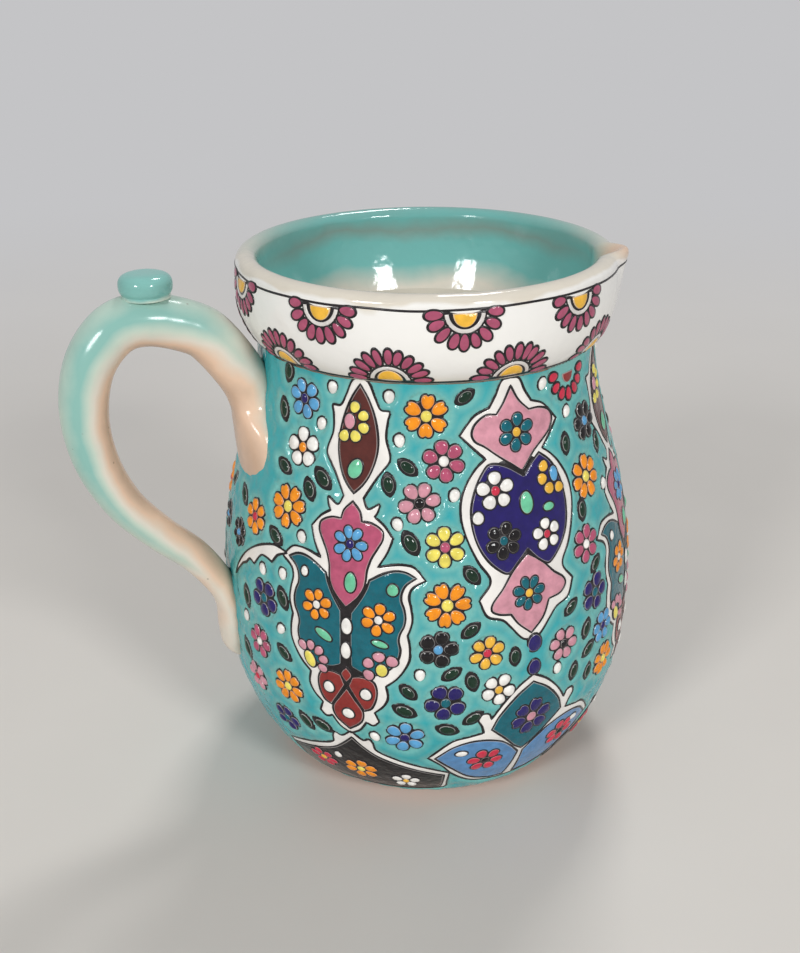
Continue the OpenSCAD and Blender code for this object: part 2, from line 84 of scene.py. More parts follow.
class JugSizes(PropertyGroup):
    """Sizes of the turned wall, the handle and the relief."""
    foot_r: length("Foot radius", "Radius of the flat foot", 46)
    belly_r: length("Belly radius", "Largest radius of the belly", BODY_HIGH[0] / MM)
    belly_z: length("Belly height", "Height of the widest part of the belly", 60)
    neck_r: length("Neck radius", "Outer radius of the neck under the collar", 57.5)
    collar_z: length("Collar seat", "Height at which the collar is seated", BODY_HIGH[2] / MM)
    wall_t: length("Wall", "Thickness of the thrown wall", 6)
    floor_t: length("Floor", "Thickness of the floor", 8)
    bulge_r: length("Collar radius", "Largest radius of the rolled collar", 65)
    bulge_rise: length("Collar bulge", "Height of the collar's widest part above its seat", 18.5)
    rim_rise: length("Rim rise", "Height of the rim line above the collar's seat", 26)
    rim_draw: length("Rim draw", "How far the rim line is drawn in", 0.7)
    rim_round: length("Rim rounding", "Radius of the rounded rim", 3.3)
    lip_reach: length("Lip reach", "How far the lip's tip stands out from the rim", 4.7)
    lip_rise: length("Lip rise", "How far the lip's tip rises over the rim", 0.6)
    handle_reach: length("Handle reach", "Distance from the axis to the handle's outer side", 118.7)
    handle_w: length("Handle width", "Width of the handle at its crown", 18)
    handle_t: length("Handle thickness", "Thickness of the handle at its crown", 17.3)
    upper_tongue_w: length("Upper tongue", "Width of the tongue on the neck", 34)
    lower_tongue_w: length("Lower tongue", "Width of the tongue on the belly", 17)
    glaze_t: length("Glaze", "Thickness of the glaze coats", 0.4)
    glaze_foot: length("Glaze edge", "Height above the foot at which the glaze stops", 7)
    pool_h: length("Pooling", "How much thicker the ground glaze lies away from the outlines", 0.62)
    bead_h: length("Bead height", "Height of a raised enamel bead", 1.1)
    line_w: length("Outline width", "Width of the black outline", 0.85)


class JugColours(PropertyGroup):
    """Colours of the clay, the glazes and the enamels."""
    clay: shade("Clay", "Bare earthenware at the foot", 200, 150, 122)
    ground: shade("Ground", "Thick turquoise glaze", 56, 166, 172)
    ground_thin: shade("Thin ground", "The same glaze where it lies thin", 112, 178, 172)
    cream: shade("Cream", "Clear glaze over pale slip", 222, 214, 199)
    peach: shade("Peach", "Clear glaze over bare clay", 222, 190, 164)
    handle: shade("Handle", "Thin turquoise glaze on the handle's back", 138, 186, 176)
    handle_pale: shade("Pale handle", "The same glaze as it thins out", 194, 209, 194)
    # A brown-grey band inside the collar, just under the rim, fullest on the far side
    under_rim_grey: shade("Smoke", "Brown-grey glaze under the rim", 130, 156, 147)
    collar: shade("Collar", "White glaze of the collar", 240, 238, 233)
    black: shade("Black", "Black of the outlines and the base band", 20, 16, 18)
    white: shade("White", "White enamel", 244, 240, 234)
    brown: shade("Brown", "Brown enamel of the spindles", 88, 40, 34)
    rose: shade("Rose", "Rose enamel of the buds", 184, 84, 114)
    teal: shade("Teal", "Teal enamel of the wings", 0, 98, 112)
    russet: shade("Russet", "Russet enamel of the trefoils", 140, 44, 40)
    pink: shade("Pink", "Pink enamel", 212, 148, 162)
    navy: shade("Navy", "Navy enamel", 34, 24, 98)
    blue: shade("Blue", "Light blue enamel", 92, 164, 212)
    leaf_blue: shade("Leaf blue", "Blue enamel of the base leaves", 88, 140, 190)
    orange: shade("Orange", "Orange enamel", 250, 148, 22)
    amber: shade("Amber", "Amber enamel", 240, 184, 62)
    yellow: shade("Yellow", "Yellow enamel", 238, 222, 100)
    red: shade("Red", "Red enamel", 204, 46, 72)
    green: shade("Green", "Dark green enamel of the leaves", 12, 46, 28)
    mint: shade("Mint", "Mint enamel of the ovals", 112, 200, 158)
    mauve: shade("Mauve", "Mauve enamel of the collar rosettes", 172, 82, 110)
    # Pale line at the edge of each enamel shape: thin enamel there, with a painted highlight along the rim
    thin_edge_and_sheen: shade("Pale line", "Thin glaze line inside each outline", 196, 190, 186)
    floor: shade("Floor", "Plain pale floor", 218, 213, 206)
    backdrop: shade("Backdrop", "Tone of the floor far behind the jug", 196, 196, 198)


class JugStage(PropertyGroup):
    """Camera, lamps and the seed of the unevenness."""
    lens: FloatProperty(name="Lens", description="Focal length on a 36 mm wide frame", default=56.25,
                        unit="CAMERA")
    camera_turn: FloatProperty(name="Camera turn", default=math.radians(18.9078), subtype="ANGLE",
                               description="Turn of the view to the right of straight ahead")
    camera_pitch: FloatProperty(name="Camera pitch", description="How far the view looks down",
                                default=math.radians(24.0536), subtype="ANGLE")
    camera_roll: FloatProperty(name="Camera roll", description="Tilt of the picture", default=-0.007,
                               subtype="ANGLE")
    lamp_power: FloatProperty(name="Lamp power", description="Power of each soft lamp", default=23,
                              unit="POWER")
    seed: IntProperty(name="Seed", description="Seed of the hand-made unevenness", default=11)


class Measures:
    """The size properties in millimetres, with the heights and radii that follow from them."""

    def __init__(self, group):
        for key in JugSizes.__annotations__:
            setattr(self, key, getattr(group, key) / MM)
        self.bulge_z = self.collar_z + self.bulge_rise
        self.rim_z = self.collar_z + self.rim_rise
        self.rim_r = self.bulge_r - self.rim_draw
        self.mouth_r = self.rim_r - 2 * self.rim_round
        self.neck_in_r = self.neck_r - self.wall_t


SWELL_POWER = 0.75
SHOULDER_POWER = 1.4
LIP_TURN = -25
LIP_HALF = 10
LIP_PINCH = 2.2
LIP_THIN = 0.45
LIP_POWER = 4


def swell(low, high, share):
    """Radius that swells from low to high as share goes from 1 to 0."""
    return low + (high - low) * np.maximum(0, 1 - share * share) ** SWELL_POWER


def body_radius(m, z):
    """Radius of the thrown clay at a height."""
    rise = np.clip((z - m.belly_z) / (m.collar_z - m.belly_z), 0, 1) ** SHOULDER_POWER
    shoulder = m.belly_r - (m.belly_r - m.neck_r) * (1 - np.cos(math.pi * rise)) / 2
    return np.where(z <= m.belly_z, swell(m.foot_r, m.belly_r, 1 - z / m.belly_z), shoulder)


def collar_radius(m, z):
    """Radius of the collar's outside at a height."""
    over = (z - m.bulge_z) / (m.rim_z - m.bulge_z)
    return np.where(z <= m.bulge_z, swell(m.neck_r, m.bulge_r, (m.bulge_z - z) / m.bulge_rise),
                    m.bulge_r - m.rim_draw * over * over)


def collar_inner_radius(m, z):
    """Radius of the collar's inside at a height."""
    return m.neck_in_r + (m.mouth_r - m.neck_in_r) * np.sin(math.pi / 2 * (z - m.collar_z) / m.rim_rise)


def smooth(low, high, value):
    """0 below low, 1 above high, and an even slope between."""
    share = np.clip((value - low) / (high - low), 0, 1)
    return share * share * (3 - 2 * share)


class Wall:
    """A turned wall: places points by turn in degrees, height and lift off the wall, in millimetres."""

    def __init__(self, heights, radii):
        self.z = heights
        self.r = radii
        slope = np.gradient(radii, heights)
        size = np.sqrt(1 + slope * slope)
        self.out = 1 / size
        self.up = -slope / size
        self.run = np.concatenate([[0], np.cumsum(np.hypot(np.diff(heights), np.diff(radii)))])

    def radius(self, z):
        """Radius at a height."""
        return np.interp(z, self.z, self.r)

    def points(self, turn, z, lift):
        """Points in space."""
        angle = np.radians(turn)
        out = np.interp(z, self.z, self.out)
        up = np.interp(z, self.z, self.up)
        reach = self.radius(z) + lift * out
        return np.stack([reach * np.cos(angle), reach * np.sin(angle), z + lift * up], axis=-1)

    def across(self, turn, ring):
        """Turns and heights of an outline in millimetres across a column's middle and up the jug."""
        return turn + np.degrees(ring[:, 0] / self.radius(ring[:, 1])), ring[:, 1]

    def around(self, turn, z, ring):
        """Turns and heights of an outline in millimetres round one spot, measured along the wall."""
        height = np.interp(np.interp(z, self.z, self.run) + ring[:, 1], self.run, self.z)
        return turn + np.degrees(ring[:, 0] / self.radius(height)), height


class Relief:
    """Gathers many small shapes into one mesh. The rim value is 1 at a shape's edge and falls to 0 inside."""

    def __init__(self):
        self.points = []
        self.faces = []
        self.rim = []
        self.count = 0

    def add(self, points, faces, rim):
        """Takes in one shape."""
        self.points.append(points)
        self.rim.append(rim)
        start = self.count
        self.faces.extend([tuple(start + index for index in face) for face in faces])
        self.count += len(points)


def piece(name, points, faces, material, nodes=(), values=None):
    """A smooth mesh piece that rides on the jug and stands for the named CAD nodes."""
    mesh = bpy.data.meshes.new(name)
    mesh.from_pydata((np.asarray(points) * MM).tolist(), [], faces)
    for key, numbers in (values or {}).items():
        layer = mesh.attributes.new(key, "FLOAT", "POINT")
        layer.data.foreach_set("value", np.asarray(numbers, dtype=np.float32))
    mesh.polygons.foreach_set("use_smooth", [True] * len(mesh.polygons))
    mesh.update()
    mesh.validate()
    obj = bpy.data.objects.new(name, mesh)
    bpy.context.scene.collection.objects.link(obj)
    mesh.materials.append(material)
    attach(obj, "root")
    if nodes:
        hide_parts(*nodes)
    return obj


def relief_piece(name, relief, material, nodes=()):
    """The piece made of everything that a relief has gathered."""
    if relief.count == 0:
        raise RuntimeError(f"{name} has no shapes")
    return piece(name, np.vstack(relief.points), relief.faces, material, nodes,
                 {"rim": np.concatenate(relief.rim)})


def lathe_faces(rows, columns):
    """Quads of a closed surface of revolution, row by row."""
    faces = []
    for i in range(rows - 1):
        for j in range(columns):
            k = (j + 1) % columns
            faces.append((i * columns + j, i * columns + k, (i + 1) * columns + k, (i + 1) * columns + j))
    return faces


def capped_faces(rows, columns, first=True):
    """The same with the last row closed, and the first row too unless it stays open."""
    faces = lathe_faces(rows, columns)
    if first:
        faces.append(tuple(range(columns - 1, -1, -1)))
    faces.append(tuple((rows - 1) * columns + j for j in range(columns)))
    return faces


def turned_points(section_r, section_z, turns, x=0.0, y=0.0):
    """Points of a section turned round an upright axis at x and y."""
    return np.stack([x + np.outer(section_r, np.cos(turns)), y + np.outer(section_r, np.sin(turns)),
                     np.outer(section_z, np.ones(len(turns)))], axis=-1).reshape(-1, 3)


# Outlines
TRACE_STEP = 0.7
TINY = 1e-9
LEAF_POINT = 0.35
PETAL_FLARE = 0.16
NOTCH_W = 0.34


def traced(points):
    """Closed outline through points in millimetres. A third value of 1 makes a point a sharp corner."""
    spots = np.array([p[:2] for p in points], dtype=float)
    sharp = [len(p) > 2 for p in points]
    count = len(points)
    out = []
    for i in range(count):
        k = (i + 1) % count
        start, end = spots[i], spots[k]
        run = end - start
        size = np.linalg.norm(run)
        if size == 0:
            continue
        before, after = start - spots[i - 1], spots[(k + 1) % count] - end
        leave = run if sharp[i] else (run + before) * size / (size + np.linalg.norm(before))
        arrive = run if sharp[k] else (run + after) * size / (size + np.linalg.norm(after))
        steps = max(2, round(size / TRACE_STEP))
        t = (np.arange(steps) / steps)[:, None]
        out.append((2 * t ** 3 - 3 * t ** 2 + 1) * start + (t ** 3 - 2 * t ** 2 + t) * leave
                   + (3 * t ** 2 - 2 * t ** 3) * end + (t ** 3 - t ** 2) * arrive)
    return anticlockwise(np.vstack(out))


def anticlockwise(ring):
    """The outline in anticlockwise order."""
    follow = np.roll(ring, -1, axis=0)
    area = np.sum(ring[:, 0] * follow[:, 1] - follow[:, 0] * ring[:, 1])
    return ring if area > 0 else ring[::-1]


def mirrored(half):
    """Outline from its right half, listed from the top of the middle line to the bottom."""
    return list(half) + flipped([p for p in reversed(half) if p[0] != 0])


def flipped(points):
    """The same outline on the other side of the middle line."""
    return [(-p[0],) + tuple(p[1:]) for p in points]


def normals(ring):
    """Outward directions at the points of an anticlockwise outline."""
    along = np.roll(ring, -1, axis=0) - np.roll(ring, 1, axis=0)
    along /= np.maximum(np.linalg.norm(along, axis=1), TINY)[:, None]
    return np.stack([along[:, 1], -along[:, 0]], axis=1)


def grown(ring, distance):
    """The outline moved outwards."""
    return ring + normals(ring) * distance


def inside(ring, spots):
    """Which spots lie inside the outline."""
    x, y = spots[:, 0][:, None], spots[:, 1][:, None]
    ax, ay = ring[:, 0], ring[:, 1]
    bx, by = np.roll(ax, -1), np.roll(ay, -1)
    crosses = (ay > y) != (by > y)
    rise = np.where(by == ay, TINY, by - ay)
    return np.sum(crosses & (x < (bx - ax) * (y - ay) / rise + ax), axis=1) % 2 == 1


def depth(ring, spots):
    """Distance from each spot to the outline."""
    run = np.roll(ring, -1, axis=0) - ring
    size = np.maximum(np.sum(run * run, axis=1), TINY)
    gap = spots[:, None, :] - ring[None, :, :]
    share = np.clip(np.sum(gap * run[None], axis=2) / size[None], 0, 1)
    return np.sqrt(np.min(np.sum((gap - share[..., None] * run[None]) ** 2, axis=2), axis=1))


def oval(half_w, half_h, count=20, egg=0.0):
    """An oval outline, fuller at its upper end where egg is above 0."""
    a = np.linspace(0, 2 * math.pi, count, endpoint=False)
    return np.stack([half_w * np.cos(a) * (1 + egg * np.sin(a)), half_h * np.sin(a)], axis=1)


def pointed(half_w, half_l, count=24):
    """A leaf outline with a point at each end, along the first axis."""
    a = np.linspace(0, 2 * math.pi, count, endpoint=False)
    return np.stack([half_l * np.cos(a), half_w * np.sin(a) * np.abs(np.sin(a)) ** LEAF_POINT], axis=1)


def petal(half_l, half_w, notch, count=20):
    """A petal outline that points along the first axis, with a notch at its outer end."""
    a = np.linspace(0, 2 * math.pi, count, endpoint=False)
    x = half_l * np.cos(a)
    y = half_w * np.sin(a) * (1 + PETAL_FLARE * np.cos(a))
    dip = notch * half_l * np.exp(-(y / (NOTCH_W * half_w)) ** 2) * (np.cos(a) > 0)
    return np.stack([x - dip, y], axis=1)


def swung(ring, degrees):
    """The outline turned anticlockwise."""
    c, s = math.cos(math.radians(degrees)), math.sin(math.radians(degrees))
    return ring @ np.array([[c, s], [-s, c]])


# Outlines of everything raised on the ground, as turns and heights: the ground glaze keeps clear of them
resist = []

# Relief shapes on a wall

DOME = ((1.0, 0.0), (0.97, 0.26), (0.9, 0.45), (0.78, 0.64), (0.6, 0.81), (0.34, 0.94))
SLIP = ((1.0, -0.6), (0.95, 0.75), (0.8, 1.0))
SLIP_H = 0.3


def mound(relief, wall, turn, z, ring, base, height, rings):
    """A raised shape with an even outline, built in rings towards its middle."""
    middle = ring.mean(axis=0)
    count = len(ring)
    spots = np.vstack([middle + (ring - middle) * share for share, _ in rings] + [middle[None]])
    lift = np.concatenate([np.full(count, base + height * rise) for _, rise in rings] + [[base + height]])
    rim = np.concatenate([np.full(count, share) for share, _ in rings] + [[0.0]])
    faces = lathe_faces(len(rings), count)
    last = (len(rings) - 1) * count
    faces += [(last + j, last + (j + 1) % count, len(spots) - 1) for j in range(count)]
    turns, heights = wall.around(turn, z, spots)
    relief.add(wall.points(turns, heights, lift), faces, rim)


def bead(relief, dark, wall, turn, z, ring, base, height, margin, shadow=(0.0, 0.0)):
    """An enamel bead in its black outline. The shadow moves the outline to one side."""
    mound(dark, wall, turn, z, grown(ring, margin) + np.array(shadow), base, SLIP_H, SLIP)
    mound(relief, wall, turn, z, ring, base, height, DOME)


PATCH_STEP = 1.4
EDGE_RING = 0.35
EDGE_CLEAR = 0.3
RIM_FADE = 5
MERGE = 1e-6


def patch(relief, wall, turn, ring, base, top, shoulder):
    """A flat field with rounded edges that follows the wall."""
    low, high = ring.min(axis=0), ring.max(axis=0)
    grid = []
    for i in range(int((high[1] - low[1]) / PATCH_STEP) + 1):
        across = np.arange(low[0] + (i % 2) * PATCH_STEP / 2, high[0], PATCH_STEP)
        grid.append(np.stack([across, np.full(len(across), low[1] + i * PATCH_STEP)], axis=1))
    spots = np.vstack([grown(ring, -EDGE_RING * shoulder), grown(ring, -shoulder)] + grid)
    spots = spots[inside(ring, spots)]
    spots = spots[depth(ring, spots) > EDGE_CLEAR * shoulder]
    corners = [Vector(p) for p in np.vstack([ring, spots]).tolist()]
    flat, _, faces, _, _, _ = delaunay_2d_cdt(corners, [], [list(range(len(ring)))], 1, MERGE)
    flat = np.array([tuple(p) for p in flat])
    into = depth(ring, flat)
    share = np.clip(into / shoulder, 0, 1)
    lift = base + (top - base) * np.sqrt(1 - (1 - share) ** 2)
    turns, heights = wall.across(turn, flat)
    relief.add(wall.points(turns, heights, lift), faces, np.clip(1 - into / RIM_FADE, 0, 1))


LINE_SECTION = ((-1, -0.5), (-0.72, 0.75), (0, 1), (0.72, 0.75), (1, -0.5))
LINE_UNEVEN = 0.22
WAVE_STEPS = 28


def line(relief, wall, turns, heights, across, base, height):
    """A brushed line along a closed run; across holds a half width in millimetres for each point."""
    run = np.stack([np.radians(turns) * wall.radius(heights), heights], axis=1)
    side = normals(run)
    count = len(turns)
    points = []
    for offset, rise in LINE_SECTION:
        moved = run + side * (offset * across)[:, None]
        points.append(wall.points(np.degrees(moved[:, 0] / wall.radius(heights)), moved[:, 1],
                                  np.full(count, base + height * rise)))
    relief.add(np.vstack(points), lathe_faces(len(LINE_SECTION), count), np.ones(count * len(LINE_SECTION)))


def outline(relief, wall, turn, ring, width, base, rng):
    """A black line of uneven width round a column's outline."""
    count = len(ring)
    phase = rng.uniform(0, 2 * math.pi)
    waves = max(3, count // WAVE_STEPS)
    swing = np.sin(np.linspace(0, 2 * math.pi * waves, count, endpoint=False) + phase)
    turns, heights = wall.across(turn, ring)
    line(relief, wall, turns, heights, width / 2 * (1 + LINE_UNEVEN * swing), base, SLIP_H)


# Shares of a flower's radius, and the share of its room that a petal fills
PETAL_REACH = 0.65
PETAL_LONG = 0.37
BED_R = 0.78
CENTRE_W = 0.25
CENTRE_H = 0.27
PETAL_FILL = 0.93
LONG_SPREAD = (0.94, 1.05)
WIDE_SPREAD = (0.94, 1.04)
# How far a petal may lean from its place, in degrees
PETAL_SWAY = 4


def flower(reliefs, wall, turn, z, radius, count, notch, colour, heart, base, height, margin, rng):
    """A rosette of petals round a centre bead."""
    start = rng.uniform(0, 360 / count)
    reach = PETAL_REACH * radius
    half_w = reach * math.sin(math.pi / count) * PETAL_FILL
    mound(reliefs["black"], wall, turn, z, oval(BED_R * radius, BED_R * radius, 24), base, SLIP_H, SLIP)
    for i in range(count):
        a = start + 360 * i / count + rng.uniform(-PETAL_SWAY, PETAL_SWAY)
        half_l = PETAL_LONG * radius * rng.uniform(*LONG_SPREAD)
        ring = petal(half_l, half_w * rng.uniform(*WIDE_SPREAD), notch)
        ring = swung(ring + np.array([reach, 0]), a)
        bead(reliefs[colour], reliefs["black"], wall, turn, z, ring, base, height, margin)
    centre = oval(CENTRE_W * radius, CENTRE_H * radius, 18)
    bead(reliefs[heart], reliefs["black"], wall, turn, z, centre, base, height, margin)


# Ornament, drawn from the photograph: columns in millimetres from their middle line and up the jug

A_COLUMNS = (-130.6, -36.2, 61.4)
B_COLUMNS = (-83.2, 12.8, 108.8)
AB_GAPS = (-106.5, -10.5, 85.5)
NARROW_GAP = 133.5
BA_GAPS = (-58.5, 37.5)
RED_DROP = 3.2
RED_R = 10

A_STRAP = mirrored([
    (0, 162.5, 1), (2.6, 161.4), (5, 156), (6.8, 152.6), (9.6, 152.2), (9.2, 149.4), (9, 144),
    (10.8, 137.4), (8.6, 133.6), (7.2, 131.6), (4.6, 127), (3.4, 124.8, 1), (5.2, 121.8), (8.8, 123.6),
    (8.4, 121), (7.6, 119.6, 1), (11, 117.2), (14.2, 113.4, 1), (12.6, 108.6), (10, 104, 1), (14, 105),
    (17.6, 105.4), (21.6, 104.6), (25.6, 100.4, 1), (21.6, 98), (20.6, 95), (21.4, 91.4), (22, 87),
    (21.4, 83.8), (20.6, 81.6, 1), (21.4, 77.6), (21.4, 73), (19.8, 69), (17, 65), (13.6, 62, 1),
    (14.2, 57.6), (12.6, 54), (9.4, 50.8, 1), (10.8, 47, 1), (8.6, 45), (6.2, 46, 1), (3.6, 42),
    (0, 39.6, 1)])
SPINDLE = mirrored([
    (0, 160.4, 1), (2.6, 156.2), (4.8, 151), (6.2, 145.6), (6.7, 141), (6.2, 136.6), (4.7, 132),
    (2.6, 128.6), (0, 126, 1)])
BUD = mirrored([
    (0, 123.6, 1), (2.8, 120.6), (3.6, 117.8, 1), (7, 117.6), (10.6, 115.6), (11, 113), (9.6, 110),
    (7.8, 106.6), (6.6, 102.5), (6.4, 99.5), (5.8, 96.4), (3.9, 93), (0, 89, 1)])
WING = [
    (7.5, 99.5, 1), (12.1, 102.2), (15.8, 103.3), (19.2, 103), (22.6, 101.2, 1), (19.6, 99), (18.3, 96.4),
    (18.2, 93.6), (19.2, 91), (19.8, 88), (19.5, 85), (18.2, 82), (17.8, 79.6), (18.4, 76), (17.4, 72),
    (14.4, 68.2), (10.4, 66), (5.4, 66.2), (1.6, 67.8, 1), (1.5, 75), (1.5, 82), (1.6, 87.6, 1),
    (4.8, 92.7), (6.6, 96.4)]
TREFOIL_SIDE = [
    (0.5, 60.2, 1), (2, 64, 1), (5.6, 64.6), (9.6, 63), (10.6, 58.4), (8.6, 52.6), (5.9, 51, 1), (3, 55.8)]
TREFOIL_LOW = mirrored([(0, 59.4, 1), (2.9, 55), (5.5, 50.4), (4.6, 46), (0, 41.8, 1)])
TREFOIL_TOP = mirrored([(0, 67.6, 1), (2.1, 64.4), (0, 61, 1)])
# How far this strap leans for each 100 mm of height, and the height at which it stands upright
STRAP_LEAN = 1.5
STRAP_UPRIGHT = 150
B_STRAP = mirrored([
    (0, 161.6, 1), (3, 161), (5.2, 156.6), (7.6, 152.8, 1), (12.6, 150.6), (17.8, 144.8, 1), (13.4, 140),
    (10.4, 137, 1), (13.8, 134.4), (17.2, 130.4), (20, 125), (20.8, 119), (19.6, 112.4), (17, 105.4),
    (13.6, 98.8), (17.8, 92.8, 1), (15.4, 87), (10.2, 84.8), (7.6, 82), (3.2, 76.8), (0, 75.6, 1)])
B_STRAP = [(x + STRAP_LEAN * (STRAP_UPRIGHT - z) / 100, z, *corner) for x, z, *corner in B_STRAP]
TOP_TREFOIL = [
    (-0.2, 159, 1), (2.6, 154), (6.4, 150.2, 1), (10.6, 150), (14.4, 148.4), (15.7, 145.6), (14.2, 142.2),
    (11.2, 139.8), (7, 136.8), (4, 133.6), (1.9, 131.4, 1), (-1.4, 134), (-6, 137.4), (-10.2, 140.8),
    (-13, 142.6), (-13.9, 145), (-12.6, 148), (-8.8, 150.6), (-5.4, 150.4, 1), (-3, 153.6)]
MEDALLION = [
    (2.2, 130.2, 1), (5.4, 133.4), (9, 136, 1), (12.8, 132.8), (15.8, 128.2), (17.6, 122.6), (18, 117),
    (17, 111), (14.6, 106.2), (11.2, 102.4), (8.4, 100.8), (4.6, 103), (0.8, 107, 1), (-3, 103.4),
    (-6.6, 100.4), (-10.2, 102.4), (-13.8, 106.4), (-16.2, 111.4), (-17.2, 117), (-16.8, 122.4),
    (-14.8, 128), (-12.2, 132.4), (-9.2, 135.2), (-4, 134.2)]
LOW_TREFOIL = [
    (0.4, 106, 1), (5.8, 102.2), (10.4, 97.4), (14.2, 94.4), (15.2, 92), (13, 89.4), (8, 88.6, 1),
    (5.6, 83), (1, 78.2, 1), (-3.8, 82.6), (-6.4, 86.4, 1), (-10.6, 87.2), (-13, 88.8), (-12.6, 91.2),
    (-9, 95.6), (-4.8, 101.4)]
ARCH_STRAP = mirrored([
    (0, 62, 1), (5.4, 58.6), (10.8, 53), (14.6, 47.2, 1), (15.6, 49.6), (18.2, 49.8), (19.2, 47.6),
    (17.6, 44.6), (16.6, 41.4, 1), (21, 40.4), (27, 38.6), (34, 30.6, 1), (28, 25.6), (23, 20), (14, 13.4),
    (4, 11), (0, 11, 1)])
ARCH = mirrored([(0, 59.2, 1), (6, 55), (11.8, 48), (14, 42.4, 1), (8.6, 37.2), (3.4, 31.4), (0, 28.6, 1)])
BASE_LEAF = [
    (1, 27.2, 1), (5, 32), (10, 36), (18.6, 38), (26, 36), (31.6, 30.4, 1), (24.4, 24), (16.6, 17.2),
    (8.4, 13.6), (2, 12.8, 1), (1.4, 20)]
BASE_STRAP = mirrored([
    (0, 40.4, 1), (4, 37), (6.2, 38), (7.4, 36.2), (8, 32.6), (15, 28.6), (24, 24.6), (31.6, 21, 1),
    (29.6, 15), (27, 9.4), (12, 8.2), (0, 8.2, 1)])
BASE_BAND = mirrored([
    (0, 37.6, 1), (3.6, 33.6), (8, 29.6), (14.6, 26), (23, 22.4), (29.6, 19.6, 1), (27.4, 13),
    (25.6, 9.6, 1), (12, 9), (0, 9, 1)])
SWAG = [
    (23.6, 101.6, 1), (27, 102.2), (31, 102.2), (39, 99.2), (47.2, 93.8), (53.4, 87.2), (56.8, 81.6, 1),
    (50, 88.4), (46.8, 90.2, 1), (44.4, 92.4), (41.4, 91.8, 1), (37.2, 96.4), (34, 96.8), (31, 96.2, 1),
    (28.4, 99.4)]

# Black beds that show between the fields
A_BED = mirrored([
    (0, 100, 1), (4.5, 97), (9, 100.5), (12, 99), (15, 92), (15, 75), (12, 68), (9, 64), (8, 56), (4, 50),
    (0, 46, 1)])
B_BED = mirrored([(0, 134.6, 1), (4, 136), (8, 134), (4, 128), (0, 126, 1)])
LOW_BED = mirrored([(0, 110, 1), (4, 106), (8, 102.6), (6, 100), (0, 103, 1)])

# Flowers: turn from the gap's middle in degrees, height, radius, petals, notch, colour and centre
AB_FLOWERS = (
    (-3.6, 151.3, 7.2, 6, 0.34, "orange", "yellow"), (1.5, 137.3, 6.7, 6, 0, "rose", "white"),
    (-5.4, 124.6, 6.6, 6, 0, "pink", "black"), (1.4, 111, 6.6, 6, 0, "yellow", "rose"),
    (1.8, 92.1, 8, 7, 0.36, "orange", "yellow"), (-0.5, 76.6, 6.5, 5, 0, "black", "blue"),
    (12, 73.9, 6, 6, 0, "amber", "red"), (1.5, 56.2, 6.9, 5, 0, "navy", "teal"),
    (15.3, 59.1, 5.9, 5, 0, "white", "amber"), (-9.1, 41, 6.8, 6, 0, "blue", "navy"))
BA_FLOWERS = (
    (7, 139.4, 6.6, 6, 0, "black", "blue"), (1.5, 122.6, 7.7, 7, 0.2, "orange", "yellow"),
    (-3.4, 101.5, 6.5, 6, 0, "rose", "white"), (-0.8, 82.9, 6.9, 5, 0, "navy", "teal"),
    (3.8, 67.2, 6.2, 6, 0, "blue", "navy"), (-13.2, 69.6, 6.2, 6, 0, "pink", "black"),
    (5.7, 52.5, 6.6, 7, 0.2, "orange", "yellow"))
SIDE_FLOWERS = (
    (151.4, 151.8, 6.5, 6, 0, "blue", "navy"), (149.8, 136.3, 6.5, 5, 0, "white", "orange"),
    (151.7, 116.6, 7.6, 7, 0.3, "orange", "yellow"), (165.2, 107.8, 6.2, 6, 0.2, "orange", "red"),
    (173.6, 98, 5.2, 6, 0, "black", "blue"), (157.7, 82, 6.8, 5, 0, "navy", "teal"),
    (160.3, 63.5, 6, 6, 0, "rose", "white"), (163.8, 46.9, 5.8, 6, 0, "pink", "red"),
    (149.5, 51.5, 6.7, 7, 0.2, "orange", "yellow"), (153.5, 34.7, 5.9, 5, 0, "navy", "teal"))
# Leaves: turn, height and lean in degrees
AB_LEAVES = (
    (-8.9, 135.4, -37), (-14.2, 129.9, -79), (-7.6, 112.3, -60), (8.2, 157, 35), (8.2, 101.5, -53),
    (7.7, 82.8, 38), (2.9, 67.3, 32), (8.2, 63.7, -76), (-8, 60.4, -46), (-9, 52.7, -25), (8.8, 48.8, 33),
    (2.1, 44.6, -20), (19.6, 70.6, -86))
BA_LEAVES = (
    (-4.9, 135.6, 82), (-3, 113.1, 83), (0.1, 92.9, 41), (-10.8, 82.2, 38), (-4.3, 70.7, 74),
    (-3, 61.9, 29), (-8.8, 56.4, 80), (-2.3, 52.5, 85), (12.2, 130.4, 83))
SIDE_LEAVES = (
    (159.4, 158.9, -77), (160.7, 145.9, 66), (156, 128.5, 22), (141, 128.6, 42), (145, 124.2, 62),
    (174, 111.6, 44), (154.9, 105.5, 31), (150.4, 85.3, 65), (150.2, 64.7, 34), (166.6, 77.6, 73),
    (167.6, 56, 60), (145.1, 38.4, 59), (139.4, 39.4, 27))
# Dots: turn and height
AB_DOTS = ((-14.9, 157), (-11.5, 143.4), (-11.2, 117.8), (4.3, 126.7), (-5, 67), (-17.2, 39.9))
BA_DOTS = ((-12.5, 157.1), (-2.3, 145.4), (-15.1, 60.8), (10.5, 116.5))
SIDE_DOTS = (
    (140.3, 157.7), (143.7, 145.3), (145.3, 108.5), (158.8, 92), (150.7, 93.9), (167, 69.6), (151, 73.4))
